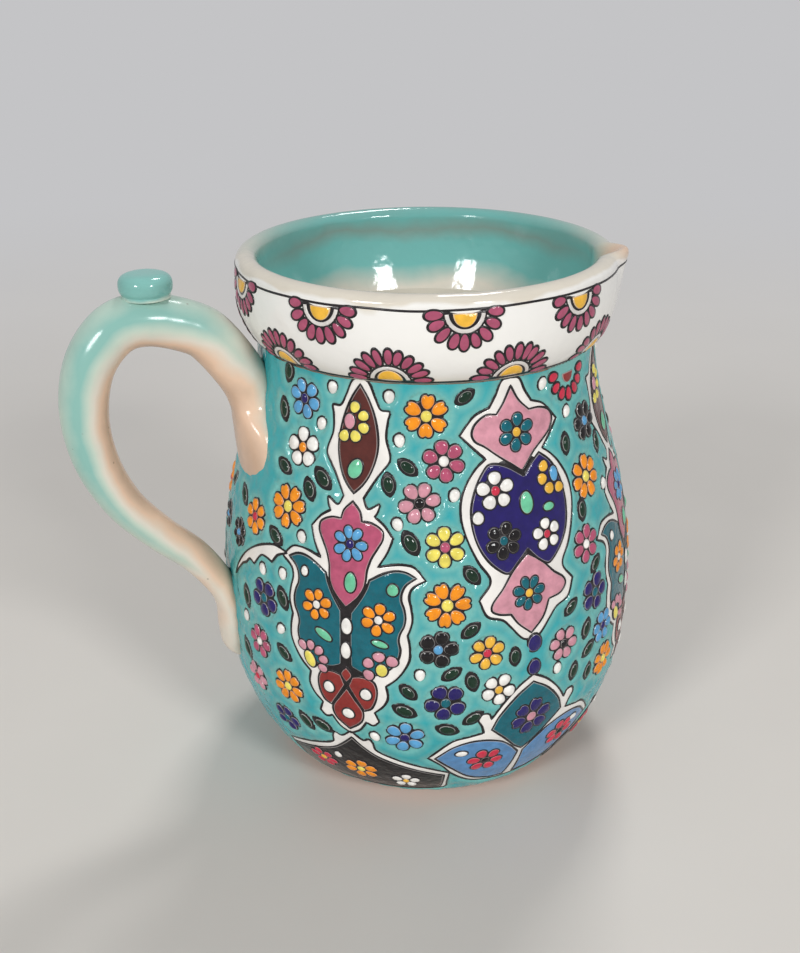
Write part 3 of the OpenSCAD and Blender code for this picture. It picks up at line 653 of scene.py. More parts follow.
# Flowers on the columns: millimetres across, height, radius, petals, notch, colour and centre
A_FLOWERS = ((0.4, 110.3, 5.9, 7, 0, "blue", "navy"), (-10.6, 87.8, 5.6, 6, 0, "orange", "white"),
             (11.1, 86.5, 5.8, 6, 0, "orange", "white"))
B_FLOWERS = ((1.1, 143.9, 6.2, 6, 0, "teal", "amber"), (-8.3, 127, 6.2, 5, 0, "white", "red"),
             (-7.4, 111.3, 6, 6, 0, "black", "teal"), (8.5, 110.3, 5.4, 5, 0, "white", "red"),
             (0.2, 92.7, 5.8, 7, 0, "teal", "amber"), (2.9, 44.5, 7.8, 6, 0.3, "navy", "pink"),
             (-11.2, 27.2, 6.4, 6, 0, "red", "black"), (19.4, 29.2, 6.4, 6, 0, "red", "black"))
BAND_FLOWERS = ((-14.6, 20.3, 5.6, 6, 0, "red", "amber"), (0.3, 19.9, 6.4, 6, 0.2, "orange", "yellow"),
                (15.5, 16, 5, 5, 0, "white", "amber"))
# Half flowers that lean on a column's edge: millimetres across, height, reach, petals, first and last
# direction, petal colour, centre colour, half width, half height and lean of the centre
A_HALVES = ((-3.2, 148, 5, 5, 72, -108, "yellow", "pink", 1.9, 2.6, 0),
            (-13.4, 67, 5.3, 5, 123, -24, "pink", "yellow", 2, 3.2, 25),
            (12.3, 68.3, 4.9, 4, 47, 208, "pink", "yellow", 2, 2.4, 0))
B_HALVES = ((13.8, 128.2, 4.9, 4, 138, 286, "amber", "blue", 1.7, 2.7, 0),)
# Single beads on the columns: millimetres across, height, half width, half height, lean, colour
A_BEADS = (
    (0.4, 82.7, 1.9, 3.1, 0, "white"), (0.1, 73.7, 1.8, 3.2, 0, "white"), (1.3, 97.9, 2, 3.5, 0, "mint"),
    (-0.1, 133.6, 2.4, 3.4, -20, "mint"), (-15.6, 98.1, 1.4, 1.8, 0, "white"),
    (15.3, 97.1, 1.9, 2.1, 0, "mint"), (-7.9, 77.8, 3.5, 1.6, -27, "mint"),
    (11.7, 78, 2.9, 1.2, -14, "mint"), (-6.4, 58.2, 2, 2.2, 0, "white"), (6.8, 58.1, 2, 2.2, 0, "white"),
    (0.2, 49, 2.2, 2.1, 0, "white"), (-7.2, 25.8, 1.5, 1.8, 0, "white"))
B_BEADS = (
    (2, 121.7, 2.4, 3.8, 0, "mint"), (10.3, 118.7, 2.2, 1.4, 0, "mint"), (-15, 119.3, 1.9, 2.1, 0, "white"),
    (2.2, 74.2, 2.7, 3.3, 0, "navy"), (2.4, 65, 2.4, 3, 0, "navy"), (-20.6, 32.6, 2.2, 1.4, 0, "white"),
    (25, 33.4, 2.2, 1.4, 0, "white"))
# How far the arch and its base leaves lie to the right of their column's middle line, in degrees
ARCH_SHIFT = 1.9
FIELD_TOP = 0.6
STRAP_TOP = 0.34
BED_TOP = 0.46
# Fields of the columns, with how far each lies from its column's turn
A_FIELDS = (
    (SPINDLE, "brown", 0), (BUD, "rose", 0), (WING, "teal", 0), (flipped(WING), "teal", 0),
    (TREFOIL_SIDE, "russet", 0), (flipped(TREFOIL_SIDE), "russet", 0), (TREFOIL_LOW, "russet", 0),
    (TREFOIL_TOP, "russet", 0), (BASE_BAND, "black", 0))
B_FIELDS = (
    (TOP_TREFOIL, "pink", 0), (MEDALLION, "navy", 0), (LOW_TREFOIL, "pink", 0), (ARCH, "teal", ARCH_SHIFT),
    (BASE_LEAF, "leaf_blue", ARCH_SHIFT), (flipped(BASE_LEAF), "leaf_blue", ARCH_SHIFT))
# How the collar's rows crowd towards its seat
COLLAR_CROWD = 1.6
WALL_ROWS = 800
COLLAR_ROWS = 240


def jug_walls(m):
    """The glazed outside of the body and of the collar."""
    low = np.linspace(0, m.collar_z, WALL_ROWS)
    high = m.collar_z + (m.rim_z - m.collar_z) * np.linspace(0, 1, COLLAR_ROWS) ** COLLAR_CROWD
    return Wall(low, body_radius(m, low) + m.glaze_t), Wall(high, collar_radius(m, high) + m.glaze_t)


# Finishes

GLAZE_IOR = 1.43
NOISE_LOW = 0.3
NOISE_HIGH = 0.7
BUMP_STRENGTH = 0.6


def finish(name, roughness):
    """A new node material with its shader's even roughness set."""
    material = bpy.data.materials.new(name)
    material.use_nodes = True
    shader = material.node_tree.nodes["Principled BSDF"]
    shader.inputs["Roughness"].default_value = roughness
    shader.inputs["IOR"].default_value = GLAZE_IOR
    return material, material.node_tree, shader


def grain(tree, scale, detail, low, high):
    """A noise value between low and high, in object space."""
    place = tree.nodes.new("ShaderNodeTexCoord")
    field = tree.nodes.new("ShaderNodeTexNoise")
    field.inputs["Scale"].default_value = scale
    field.inputs["Detail"].default_value = detail
    tree.links.new(place.outputs["Object"], field.inputs["Vector"])
    span = tree.nodes.new("ShaderNodeMapRange")
    span.inputs["From Min"].default_value = NOISE_LOW
    span.inputs["From Max"].default_value = NOISE_HIGH
    span.inputs["To Min"].default_value = low
    span.inputs["To Max"].default_value = high
    tree.links.new(field.outputs["Fac"], span.inputs["Value"])
    return span.outputs["Result"]


def value(tree, name):
    """A mesh value by its name."""
    node = tree.nodes.new("ShaderNodeAttribute")
    node.attribute_name = name
    return node.outputs["Fac"]


def total(tree, first, second, operation="ADD"):
    """Two values put together."""
    node = tree.nodes.new("ShaderNodeMath")
    node.operation = operation
    tree.links.new(first, node.inputs[0])
    tree.links.new(second, node.inputs[1])
    return node.outputs[0]


def wandering(tree, name, scale, detail, low, high):
    """A mesh value with some noise added to it."""
    return total(tree, value(tree, name), grain(tree, scale, detail, low, high))


def ramp(tree, source, stops):
    """A colour that follows a value through stops of (place, colour)."""
    node = tree.nodes.new("ShaderNodeValToRGB")
    bands = node.color_ramp.elements
    while len(bands) < len(stops):
        bands.new(0.5)
    for band, (place, colour) in zip(bands, stops):
        band.position = place
        band.color = (*colour, 1)
    tree.links.new(source, node.inputs["Fac"])
    return node.outputs["Color"]


def layered(tree, share, under, over):
    """One colour over another by a share."""
    node = tree.nodes.new("ShaderNodeMix")
    node.data_type = "RGBA"
    tree.links.new(share, node.inputs["Factor"])
    for index, colour in ((6, under), (7, over)):
        if isinstance(colour, tuple):
            node.inputs[index].default_value = (*colour, 1)
        else:
            tree.links.new(colour, node.inputs[index])
    return node.outputs[2]


def dappled(tree, shader, scale, height):
    """Small unevenness of a fired surface."""
    bump = tree.nodes.new("ShaderNodeBump")
    bump.inputs["Distance"].default_value = height * MM
    bump.inputs["Strength"].default_value = BUMP_STRENGTH
    tree.links.new(grain(tree, scale, 2, 0, 1), bump.inputs["Height"])
    tree.links.new(bump.outputs["Normal"], shader.inputs["Normal"])


def tinted(colour, factor):
    """A colour made lighter or darker."""
    return tuple(min(1.0, channel * factor) for channel in colour)


def halfway(first, second):
    """The colour midway between two."""
    return tuple((a + b) / 2 for a, b in zip(first, second))


def mottled(name, roughness, colour, shades, scale, detail):
    """A finish whose colour drifts between two shades of one colour."""
    material, tree, shader = finish(name, roughness)
    stops = [(place, tinted(colour, factor)) for place, factor in enumerate(shades)]
    tree.links.new(ramp(tree, grain(tree, scale, detail, 0, 1), stops), shader.inputs["Base Color"])
    return material, tree, shader


def enamel(name, colour, pale):
    """Glossy enamel with a thin pale line near the edge of each shape: thin enamel there, with a painted
    highlight along the rim.
    """
    material, tree, shader = finish(name, roughness=0.1)
    body = ramp(tree, grain(tree, 320, 3, 0, 1), ((0, tinted(colour, 0.82)), (1, tinted(colour, 1.12))))
    # The pale line near each edge: thin enamel there, with a painted highlight
    edge = ramp(tree, value(tree, "rim"), ((0.87, (0, 0, 0)), (0.91, (0.55, 0.55, 0.55))))
    tree.links.new(layered(tree, edge, body, pale), shader.inputs["Base Color"])
    dappled(tree, shader, scale=300, height=0.28)
    return material


def props():
    """Sizes in millimetres, colours and stage values."""
    scene = bpy.context.scene
    return Measures(scene.jug_sizes), scene.jug_colours, scene.jug_stage


def colour_of(group, key):
    """A colour property as plain numbers."""
    return tuple(getattr(group, key))


# The record's slot of each enamel: two of them share the slot of a like colour
ENAMELS = ("black", "white", "brown", "rose", "teal", "russet", "pink", "navy", "blue", "leaf_blue", "orange",
           "amber", "yellow", "red", "green", "mint", "mauve")
SHARED_SLOTS = {"leaf_blue": "blue", "mint": "green"}
ENAMEL_SLOTS = {key: "enamel_" + SHARED_SLOTS.get(key, key) for key in ENAMELS}


def enamel_for(key):
    """The enamel of a colour, made once."""
    name = "fired_" + key
    if name in bpy.data.materials:
        return bpy.data.materials[name]
    colours = bpy.context.scene.jug_colours
    return enamel(name, colour_of(colours, key), colour_of(colours, "thin_edge_and_sheen"))


def slip_finish():
    """Satin black slip of the outlines, made once."""
    if "black_slip" in bpy.data.materials:
        return bpy.data.materials["black_slip"]
    black = colour_of(bpy.context.scene.jug_colours, "black")
    material, tree, shader = mottled("black_slip", 0.28, black, (0.7, 2.4), scale=500, detail=3)
    dappled(tree, shader, scale=600, height=0.1)
    return material


def strap_finish():
    """Glossy, slightly uneven white of the straps."""
    white = colour_of(bpy.context.scene.jug_colours, "white")
    material, tree, shader = mottled("strap_white", 0.14, white, (0.86, 1.02), scale=90, detail=4)
    dappled(tree, shader, scale=300, height=0.12)
    return material


class JUG_OT_clay(Operator):
    """Gives the thrown body its bare clay"""
    bl_idname = "jug.clay"
    bl_label = "Clay body"

    def execute(self, context):
        _, colours, _ = props()
        clay = colour_of(colours, "clay")
        material, tree, shader = mottled("bare_clay", 0.75, clay, (0.78, 1.1), scale=160, detail=6)
        dappled(tree, shader, scale=900, height=0.3)
        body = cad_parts["body"]
        body.data.materials.clear()
        body.data.materials.append(material)
        return {"FINISHED"}


# Where the shapes of the columns start off the wall, the width of their rounded edges, and where the lines
# round them start; a strap's line is wider by a share
STRAP_BASE = -0.1
STRAP_EDGE = 0.8
STRAP_LINE_BASE = 0.12
STRAP_LINE_SHARE = 1.15
FIELD_LOW = 0.05
FIELD_EDGE = 1.1
FIELD_LINE_BASE = 0.28
BED_EDGE = 0.6


class JUG_OT_columns(Operator):
    """Lays the white straps, the black lines and the enamel fields of the columns"""
    bl_idname = "jug.columns"
    bl_label = "Columns"

    def execute(self, context):
        m, _, stage = props()
        rng = random.Random(stage.seed)
        wall, _ = jug_walls(m)
        stands_for = {
            "brown": ("spindle_fields",), "rose": ("bud_fields",), "teal": ("wing_fields", "arch_fields"),
            "russet": ("trefoil_fields",), "pink": ("pink_trefoils",), "navy": ("medallion_fields",),
            "leaf_blue": ("base_leaf_fields",), "black": ("base_band_fields",)}
        fields = {key: Relief() for key in stands_for}
        straps, lines = Relief(), Relief()

        def strap(turn, points):
            ring = traced(points)
            patch(straps, wall, turn, ring, STRAP_BASE, STRAP_TOP, STRAP_EDGE)
            outline(lines, wall, turn, ring, m.line_w * STRAP_LINE_SHARE, STRAP_LINE_BASE, rng)
            resist.append(wall.across(turn, grown(ring, m.line_w / 2)))

        def field(turn, points, key):
            ring = traced(points)
            patch(fields[key], wall, turn, ring, FIELD_LOW, FIELD_TOP, FIELD_EDGE)
            outline(lines, wall, turn, ring, m.line_w, FIELD_LINE_BASE, rng)

        def bed(turn, points):
            patch(lines, wall, turn, traced(points), FIELD_LOW, BED_TOP, BED_EDGE)

        for turn in A_COLUMNS:
            strap(turn, A_STRAP)
            strap(turn, BASE_STRAP)
            bed(turn, A_BED)
            for points, key, shift in A_FIELDS:
                field(turn + shift, points, key)
        for turn in B_COLUMNS:
            strap(turn, B_STRAP)
            strap(turn + ARCH_SHIFT, ARCH_STRAP)
            bed(turn, B_BED)
            bed(turn, LOW_BED)
            for points, key, shift in B_FIELDS:
                field(turn + shift, points, key)
        strap(A_COLUMNS[0], flipped(SWAG))
        strap(-A_COLUMNS[0], SWAG)
        relief_piece("straps", straps, strap_finish(), ("strap_borders", "handle_swags"))
        relief_piece("column_lines", lines, slip_finish())
        for key, nodes in stands_for.items():
            relief_piece("fields_" + key, fields[key], enamel_for(key), nodes)
        return {"FINISHED"}


# Free room round a leaf and round a dot where the ornament has to fit in
LEAF_ROOM = 3.8
DOT_ROOM = 2.4
# Width of the black edge of a bead on the ground, on a field and of a single bead, and of the bare ring
# round a flower
GROUND_MARGIN = 0.55
FIELD_MARGIN = 0.45
SINGLE_MARGIN = 0.5
FLOWER_CLEAR = 0.3
# Where beads on the columns start, and shares of the full bead height there
FIELD_BASE = FIELD_TOP - 0.15
FIELD_BEAD = 0.75
HALF_BEAD = 0.8
HALF_FILL = 0.92
HALF_LONG = 1.9
DOT_SHADOW = (-0.3, 0.4)
# Half width and half length of a leaf's black edge, and half length and half width of its green bead
LEAF_EDGE = (2.7, 4.5)
LEAF_BEAD = (2.8, 1.75)
LEAF_SPREAD = (0.9, 1.1)
DOT_SIZE = (1.7, 2.2)
DOT_LEAN = 30
# How much fuller the upper end of a dot and of a bead is
DOT_EGG = 0.12
BEAD_EGG = -0.08
RED_CLEAR = 0.4
# Enamels that no bead has
FIELD_ONLY = ("leaf_blue", "mauve", "russet")


class JUG_OT_flowers(Operator):
    """Sets the flowers, leaves, ovals and dots as raised beads"""
    bl_idname = "jug.flowers"
    bl_label = "Flowers"

    def execute(self, context):
        m, _, stage = props()
        rng = random.Random(stage.seed + 1)
        wall, _ = jug_walls(m)
        keys = [key for key in ENAMEL_SLOTS if key not in FIELD_ONLY]
        reliefs = {key: Relief() for key in keys}
        dark = Relief()
        groups = dict(reliefs, black=dark, black_petals=reliefs["black"])

        def bloom(turn, z, radius, count, notch, colour, heart, base, height, margin):
            petals, centre = ("black_petals" if key == "black" else key for key in (colour, heart))
            flower(groups, wall, turn, z, radius, count, notch, petals, centre, base, height, margin, rng)

        def column_turn(column, across, z):
            return column + math.degrees(across / wall.radius(z))

        def half_bloom(column, across, z, reach, count, first, last, colour, heart, heart_w, heart_h, lean):
            turn = column_turn(column, across, z)
            height = m.bead_h * HALF_BEAD
            step = (last - first) / (count - 1)
            half_w = reach * math.sin(math.radians(abs(step)) / 2) * HALF_FILL
            for i in range(count):
                ring = petal(HALF_LONG * rng.uniform(*LONG_SPREAD), half_w * rng.uniform(*WIDE_SPREAD), 0)
                ring = swung(ring + np.array([reach, 0]), first + step * i)
                bead(reliefs[colour], dark, wall, turn, z, ring, FIELD_BASE, height, FIELD_MARGIN)
            core = swung(oval(heart_w, heart_h, 20), lean)
            bead(reliefs[heart], dark, wall, turn, z, core, FIELD_BASE, height, SINGLE_MARGIN)

        def is_free(turn, z, radius):
            mark = np.stack(wall.around(turn, z, oval(radius, radius, 16)), axis=1)
            others = [np.stack(ring, axis=1) for ring in resist]
            return not any(inside(other, mark).any() or inside(mark, other).any() for other in others)

        def leaf(turn, z, lean):
            size = rng.uniform(*LEAF_SPREAD)
            edge = swung(pointed(LEAF_EDGE[0] * size, LEAF_EDGE[1] * size), lean)
            core = swung(oval(LEAF_BEAD[0] * size, LEAF_BEAD[1] * size), lean)
            mound(dark, wall, turn, z, edge, 0.0, SLIP_H, SLIP)
            mound(reliefs["green"], wall, turn, z, core, 0.0, m.bead_h, DOME)
            resist.append(wall.around(turn, z, edge))

        def dot(turn, z):
            ring = swung(oval(*DOT_SIZE, 18, DOT_EGG), rng.uniform(-DOT_LEAN, DOT_LEAN))
            bead(reliefs["white"], dark, wall, turn, z, ring, 0.0, m.bead_h, SINGLE_MARGIN, DOT_SHADOW)
            resist.append(wall.around(turn, z, grown(ring, SINGLE_MARGIN)))

        def ground_flower(turn, z, radius, *looks):
            bloom(turn, z, radius, *looks, 0.0, m.bead_h, GROUND_MARGIN)
            resist.append(wall.around(turn, z, oval(radius + FLOWER_CLEAR, radius + FLOWER_CLEAR, 30)))

        def grow_gap(turns, flowers, leaves, dots, only_free=False):
            for gap in turns:
                for turn, z, radius, *looks in flowers:
                    if not only_free or is_free(gap + turn, z, radius):
                        ground_flower(gap + turn, z, radius, *looks)
                for turn, z, lean in leaves:
                    if not only_free or is_free(gap + turn, z, LEAF_ROOM):
                        leaf(gap + turn, z, lean)
                for turn, z in dots:
                    if not only_free or is_free(gap + turn, z, DOT_ROOM):
                        dot(gap + turn, z)

        grow_gap(AB_GAPS, AB_FLOWERS, AB_LEAVES, AB_DOTS)
        grow_gap(BA_GAPS, BA_FLOWERS, BA_LEAVES, BA_DOTS)
        for side in (-1, 1):
            for turn, *rest in SIDE_FLOWERS:
                ground_flower(side * turn, *rest)
            for turn, z, lean in SIDE_LEAVES:
                leaf(side * turn, z, side * lean)
            for turn, z in SIDE_DOTS:
                dot(side * turn, z)
        grow_gap((NARROW_GAP,), AB_FLOWERS, AB_LEAVES, AB_DOTS, only_free=True)

        def on_column(turns, flowers, beads, halves):
            height = m.bead_h * FIELD_BEAD
            for column in turns:
                for across, z, *looks in flowers:
                    bloom(column_turn(column, across, z), z, *looks, FIELD_BASE, height, FIELD_MARGIN)
                for across, z, half_w, half_h, lean, colour in beads:
                    ring = swung(oval(half_w, half_h, 20, BEAD_EGG), lean)
                    turn = column_turn(column, across, z)
                    bead(reliefs[colour], dark, wall, turn, z, ring, FIELD_BASE, height, SINGLE_MARGIN)
            for column in turns:
                for half in halves:
                    half_bloom(column, *half)

        on_column(A_COLUMNS, A_FLOWERS + BAND_FLOWERS, A_BEADS, A_HALVES)
        on_column(B_COLUMNS, B_FLOWERS, B_BEADS, B_HALVES)
        for gap in BA_GAPS:
            room = oval(RED_R + RED_CLEAR, RED_R + RED_CLEAR, 36)
            resist.append(wall.around(gap, m.collar_z - RED_DROP, room))
        stands_for = {
            "orange": ("orange_flowers",), "rose": ("rose_flowers",),
            "white": ("white_flowers", "white_dots"), "yellow": ("yellow_flowers", "flower_centres"),
            "navy": ("navy_flowers", "medallion_beads"), "blue": ("blue_flowers",),
            "teal": ("teal_flowers",), "red": ("red_flowers",), "green": ("green_leaves",)}
        for key in keys:
            if reliefs[key].count:
                relief_piece("beads_" + key, reliefs[key], enamel_for(key),
                             stands_for.get(key, ()))
        relief_piece("bead_lines", dark, slip_finish())
        return {"FINISHED"}


# Distances from an outline within which the glaze thins out and pales
MENISCUS = 1.5
SHALLOWS = 3.2
GROUND_TURNS = 960
GROUND_ROWS = 288
RIPPLE_H = 0.34
RIPPLE_SCALE = 0.27
WANDER_SHARE = 0.3
WANDER_SCALE = 0.11
FOOT_DROP = 0.6


class JUG_OT_ground(Operator):
    """Pours the turquoise ground, thicker away from the outlines"""
    bl_idname = "jug.ground"
    bl_label = "Ground glaze"

    def execute(self, context):
        m, colours, _ = props()
        wall, _ = jug_walls(m)
        turns = np.linspace(-180, 180, GROUND_TURNS, endpoint=False)
        low_run = np.interp(m.glaze_foot, wall.z, wall.run)
        heights = np.interp(np.linspace(low_run, wall.run[-1], GROUND_ROWS), wall.run, wall.z)
        turn, z = np.meshgrid(turns, heights)
        flat = np.stack([turn.ravel(), z.ravel()], axis=1)
        floor = wall.points(flat[:, 0], flat[:, 1], 0)
        marks = []
        covered = np.zeros(len(flat), dtype=bool)
        for ring_turns, ring_heights in resist:
            ring = np.stack([ring_turns, ring_heights], axis=1)
            marks.append(wall.points(ring_turns, ring_heights, 0))
            for shift in (-360, 0, 360):
                moved = ring + np.array([shift, 0])
                near = np.all((flat >= moved.min(axis=0)) & (flat <= moved.max(axis=0)), axis=1)
                if near.any():
                    covered[np.nonzero(near)[0][inside(moved, flat[near])]] = True
        marks = np.vstack(marks)
        tree = KDTree(len(marks))
        for index, mark in enumerate(marks):
            tree.insert(mark, index)
        tree.balance()
        gap = np.array([tree.find(point)[2] for point in floor])
        gap[covered] = 0
        pool = np.sqrt(1 - (1 - np.clip(gap / MENISCUS, 0, 1)) ** 2)
        wander = np.array([noise.noise(Vector(point) * WANDER_SCALE) for point in floor])
        ripple = np.array([noise.noise(Vector(point) * RIPPLE_SCALE) for point in floor])
        edge_drop = np.where(flat[:, 1] <= m.glaze_foot + 0.01, -FOOT_DROP, 0)
        lift = pool * (m.pool_h * (1 + WANDER_SHARE * wander) + RIPPLE_H * ripple) + edge_drop
        points = wall.points(flat[:, 0], flat[:, 1], lift)
        thick, thin = colour_of(colours, "ground"), colour_of(colours, "ground_thin")
        material, nodes, shader = finish("turquoise_ground", roughness=0.09)
        patchy = wandering(nodes, "pool", scale=70, detail=4, low=-0.22, high=0.18)
        tone = ramp(nodes, patchy, ((0, tinted(thin, 1.1)), (0.5, halfway(thin, thick)), (1, thick)))
        nodes.links.new(tone, shader.inputs["Base Color"])
        dappled(nodes, shader, scale=150, height=0.8)
        piece("ground_coat", points, lathe_faces(len(heights), len(turns)), material,
              ("ground_glaze",), {"pool": np.clip(gap / SHALLOWS, 0, 1)})
        return {"FINISHED"}


def lip_push(m, turn, z):
    """How far the pinched lip moves a point of the collar out and up."""
    side = np.clip(np.abs((turn - LIP_TURN + 180) % 360 - 180) / LIP_HALF, 0, 1)
    bump = (1 - side * side) ** LIP_PINCH
    share = np.clip((z - m.collar_z) / (m.rim_z + m.rim_round - m.collar_z), 0, 1) ** LIP_POWER
    return m.lip_reach * bump * share, m.lip_rise * bump * share, bump


# Direction of the rim's far side, where a brown-grey band runs inside under the rim, in degrees
FAR_TURN = 71
FAR_SPREAD = (-0.4, 0.9)
COLLAR_TURNS = 720
# Shares of the way up the outside, over the rim and down the inside: where the rim starts and ends, where the
# lip thins out and where it turns bare of glaze
RIM_START = 0.4
RIM_END = 0.6
LIP_THINNING = (0.42, 0.6)
LIP_BARE = (0.38, 0.46)
# Painted lines: half width and how far each wanders up and down, then their height off the wall
RIM_LINE = (0.42, 0.5)
SEAT_LINE = (0.5, 0.2)
PAINT_H = 0.14
RIM_LINE_DROP = 0.7
SEAT_LINE_RISE = 1.1
LINE_TOP_CLEAR = 0.2
WOBBLE_SCALE = 3
WOBBLE_LEVEL = 0.5


class JUG_OT_collar(Operator):
    """Rolls the white collar with its rim and pinched lip"""
    bl_idname = "jug.collar"
    bl_label = "Collar and lip"

    def execute(self, context):
        m, colours, _ = props()
        _, collar = jug_walls(m)
        outer_z = m.collar_z + (m.rim_z - m.collar_z) * np.linspace(0, 1, 48) ** COLLAR_CROWD
        arc = np.linspace(0, math.pi, 22)[1:-1]
        inner_z = np.linspace(m.rim_z, m.collar_z, 40)
        section_r = np.concatenate([collar_radius(m, outer_z) + m.glaze_t,
                                    m.rim_r - m.rim_round + (m.rim_round + m.glaze_t) * np.cos(arc),
                                    collar_inner_radius(m, inner_z) - m.glaze_t])
        section_z = np.concatenate([outer_z, m.rim_z + m.rim_round * np.sin(arc), inner_z])
        course = np.concatenate([np.linspace(0, RIM_START, len(outer_z)),
                                 np.linspace(RIM_START, RIM_END, len(arc) + 2)[1:-1],
                                 np.linspace(RIM_END, 1, len(inner_z))])
        turns = np.linspace(-180, 180, COLLAR_TURNS, endpoint=False)
        turn, r = np.meshgrid(turns, section_r)
        _, z = np.meshgrid(turns, section_z)
        _, way = np.meshgrid(turns, course)
        out, up, bump = lip_push(m, turn, z)
        out = out * (1 + LIP_THIN * smooth(*LIP_THINNING, way))
        angle = np.radians(turn)
        reach = r + out
        points = np.stack([reach * np.cos(angle), reach * np.sin(angle), z + up], axis=-1).reshape(-1, 3)
        values = {"course": way.ravel(),
                  "far": smooth(*FAR_SPREAD, np.cos(np.radians(turn - FAR_TURN))).ravel(),
                  "lip": (bump * smooth(*LIP_BARE, way)).ravel()}
        white, cream = colour_of(colours, "collar"), colour_of(colours, "cream")
        peach, under_rim_grey = colour_of(colours, "peach"), colour_of(colours, "under_rim_grey")
        thin = colour_of(colours, "ground_thin")
        blend = halfway(thin, cream)
        material, tree, shader = finish("collar_white", roughness=0.1)
        drift = wandering(tree, "course", scale=40, detail=3, low=-0.035, high=0.035)
        # At the collar's foot, tucked under its bulge, the white turns cream and dims: painted shade
        outside = ((0, cream), (0.12, tinted(white, 0.95)), (0.2, white), (0.405, white))
        seat = ((0.93, blend), (0.99, cream))
        near = ramp(tree, drift, (*outside, (0.425, cream), (0.5, tinted(cream, 0.93)),
                                  (0.56, halfway(cream, under_rim_grey)), (0.62, tinted(thin, 1.15)),
                                  (0.86, tinted(thin, 1.05)), *seat))
        # On the far side a brown-grey band runs inside, just under the rim
        far = ramp(tree, drift, (*outside, (0.43, cream), (0.48, halfway(thin, under_rim_grey)), (0.58, thin),
                                 (0.66, under_rim_grey), (0.74, tinted(thin, 1.05)), (0.86, tinted(thin, 1.08)),
                                 *seat))
        coat = layered(tree, value(tree, "far"), near, far)
        tree.links.new(layered(tree, value(tree, "lip"), coat, peach), shader.inputs["Base Color"])
        dappled(tree, shader, scale=120, height=0.25)
        piece("collar_roll", points, lathe_faces(len(section_r), len(turns)), material,
              ("collar", "pouring_lip", "collar_glaze"), values)
        lines = Relief()
        rounds = [(math.cos(a) * WOBBLE_SCALE, math.sin(a) * WOBBLE_SCALE, WOBBLE_LEVEL)
                  for a in np.radians(turns)]
        wobble = np.array([noise.noise(Vector(spot)) for spot in rounds])
        painted = ((m.rim_z - RIM_LINE_DROP, *RIM_LINE), (m.collar_z + SEAT_LINE_RISE, *SEAT_LINE))
        for height, width, wander in painted:
            level = np.clip(height + wander * wobble, collar.z[1], collar.z[-1] - LINE_TOP_CLEAR)
            rows = []
            for offset, rise in LINE_SECTION:
                at = level + offset * width
                spots = collar.points(turns, at, PAINT_H * rise)
                out, up, _ = lip_push(m, turns, at)
                spots[:, 0] += out * np.cos(np.radians(turns))
                spots[:, 1] += out * np.sin(np.radians(turns))
                spots[:, 2] += up
                rows.append(spots)
            lines.add(np.vstack(rows), lathe_faces(len(rows), len(turns)), np.ones(len(turns) * len(rows)))
        relief_piece("collar_lines", lines, slip_finish(), ("painted_lines",))
        return {"FINISHED"}


# Turns of the rosettes that hang from the rim, and of the first of those that stand on the seat
HANGING_TURNS = (-176.3, -139.5, -100, -63.5, 8, 44, 80, 116, 150)
STANDING_TURN = -84.6
STANDING = 10
STANDING_SHARE = 1.08
ROSETTE_R = 12.4
RING_OUT = 6.3
RING_IN = 4.9
HEART_W = 3.7
HEART_H = 4.2
ROSETTE_PETALS = 9
ROSETTE_FILL = 0.94
RED_PETALS = 7
PAINTED_BEAD = 0.5
PAINTED_MARGIN = 0.38
# A ring's start, top, rounded edge and rise, and the black shape under it
RING_BASE = -0.05
RING_TOP = 0.34
RING_EDGE = 0.3
RING_RISE = 0.3
UNDER_RING = 1.1
UNDER_DROP = 0.4
UNDER_H = 0.2
HEART_RISE = 0.5
HEART_BASE = 0.1
# Direction of a half rosette's first petal, the sweep to its last one and how far each may lean, in degrees
FIRST_PETAL = 4
PETAL_SWEEP = 172
ROSETTE_SWAY = 2
ROSETTE_LONG = (0.9, 1.06)
ROSETTE_WIDE = (0.88, 1.0)
HANG_DROP = 1.2
STAND_RISE = 1.6


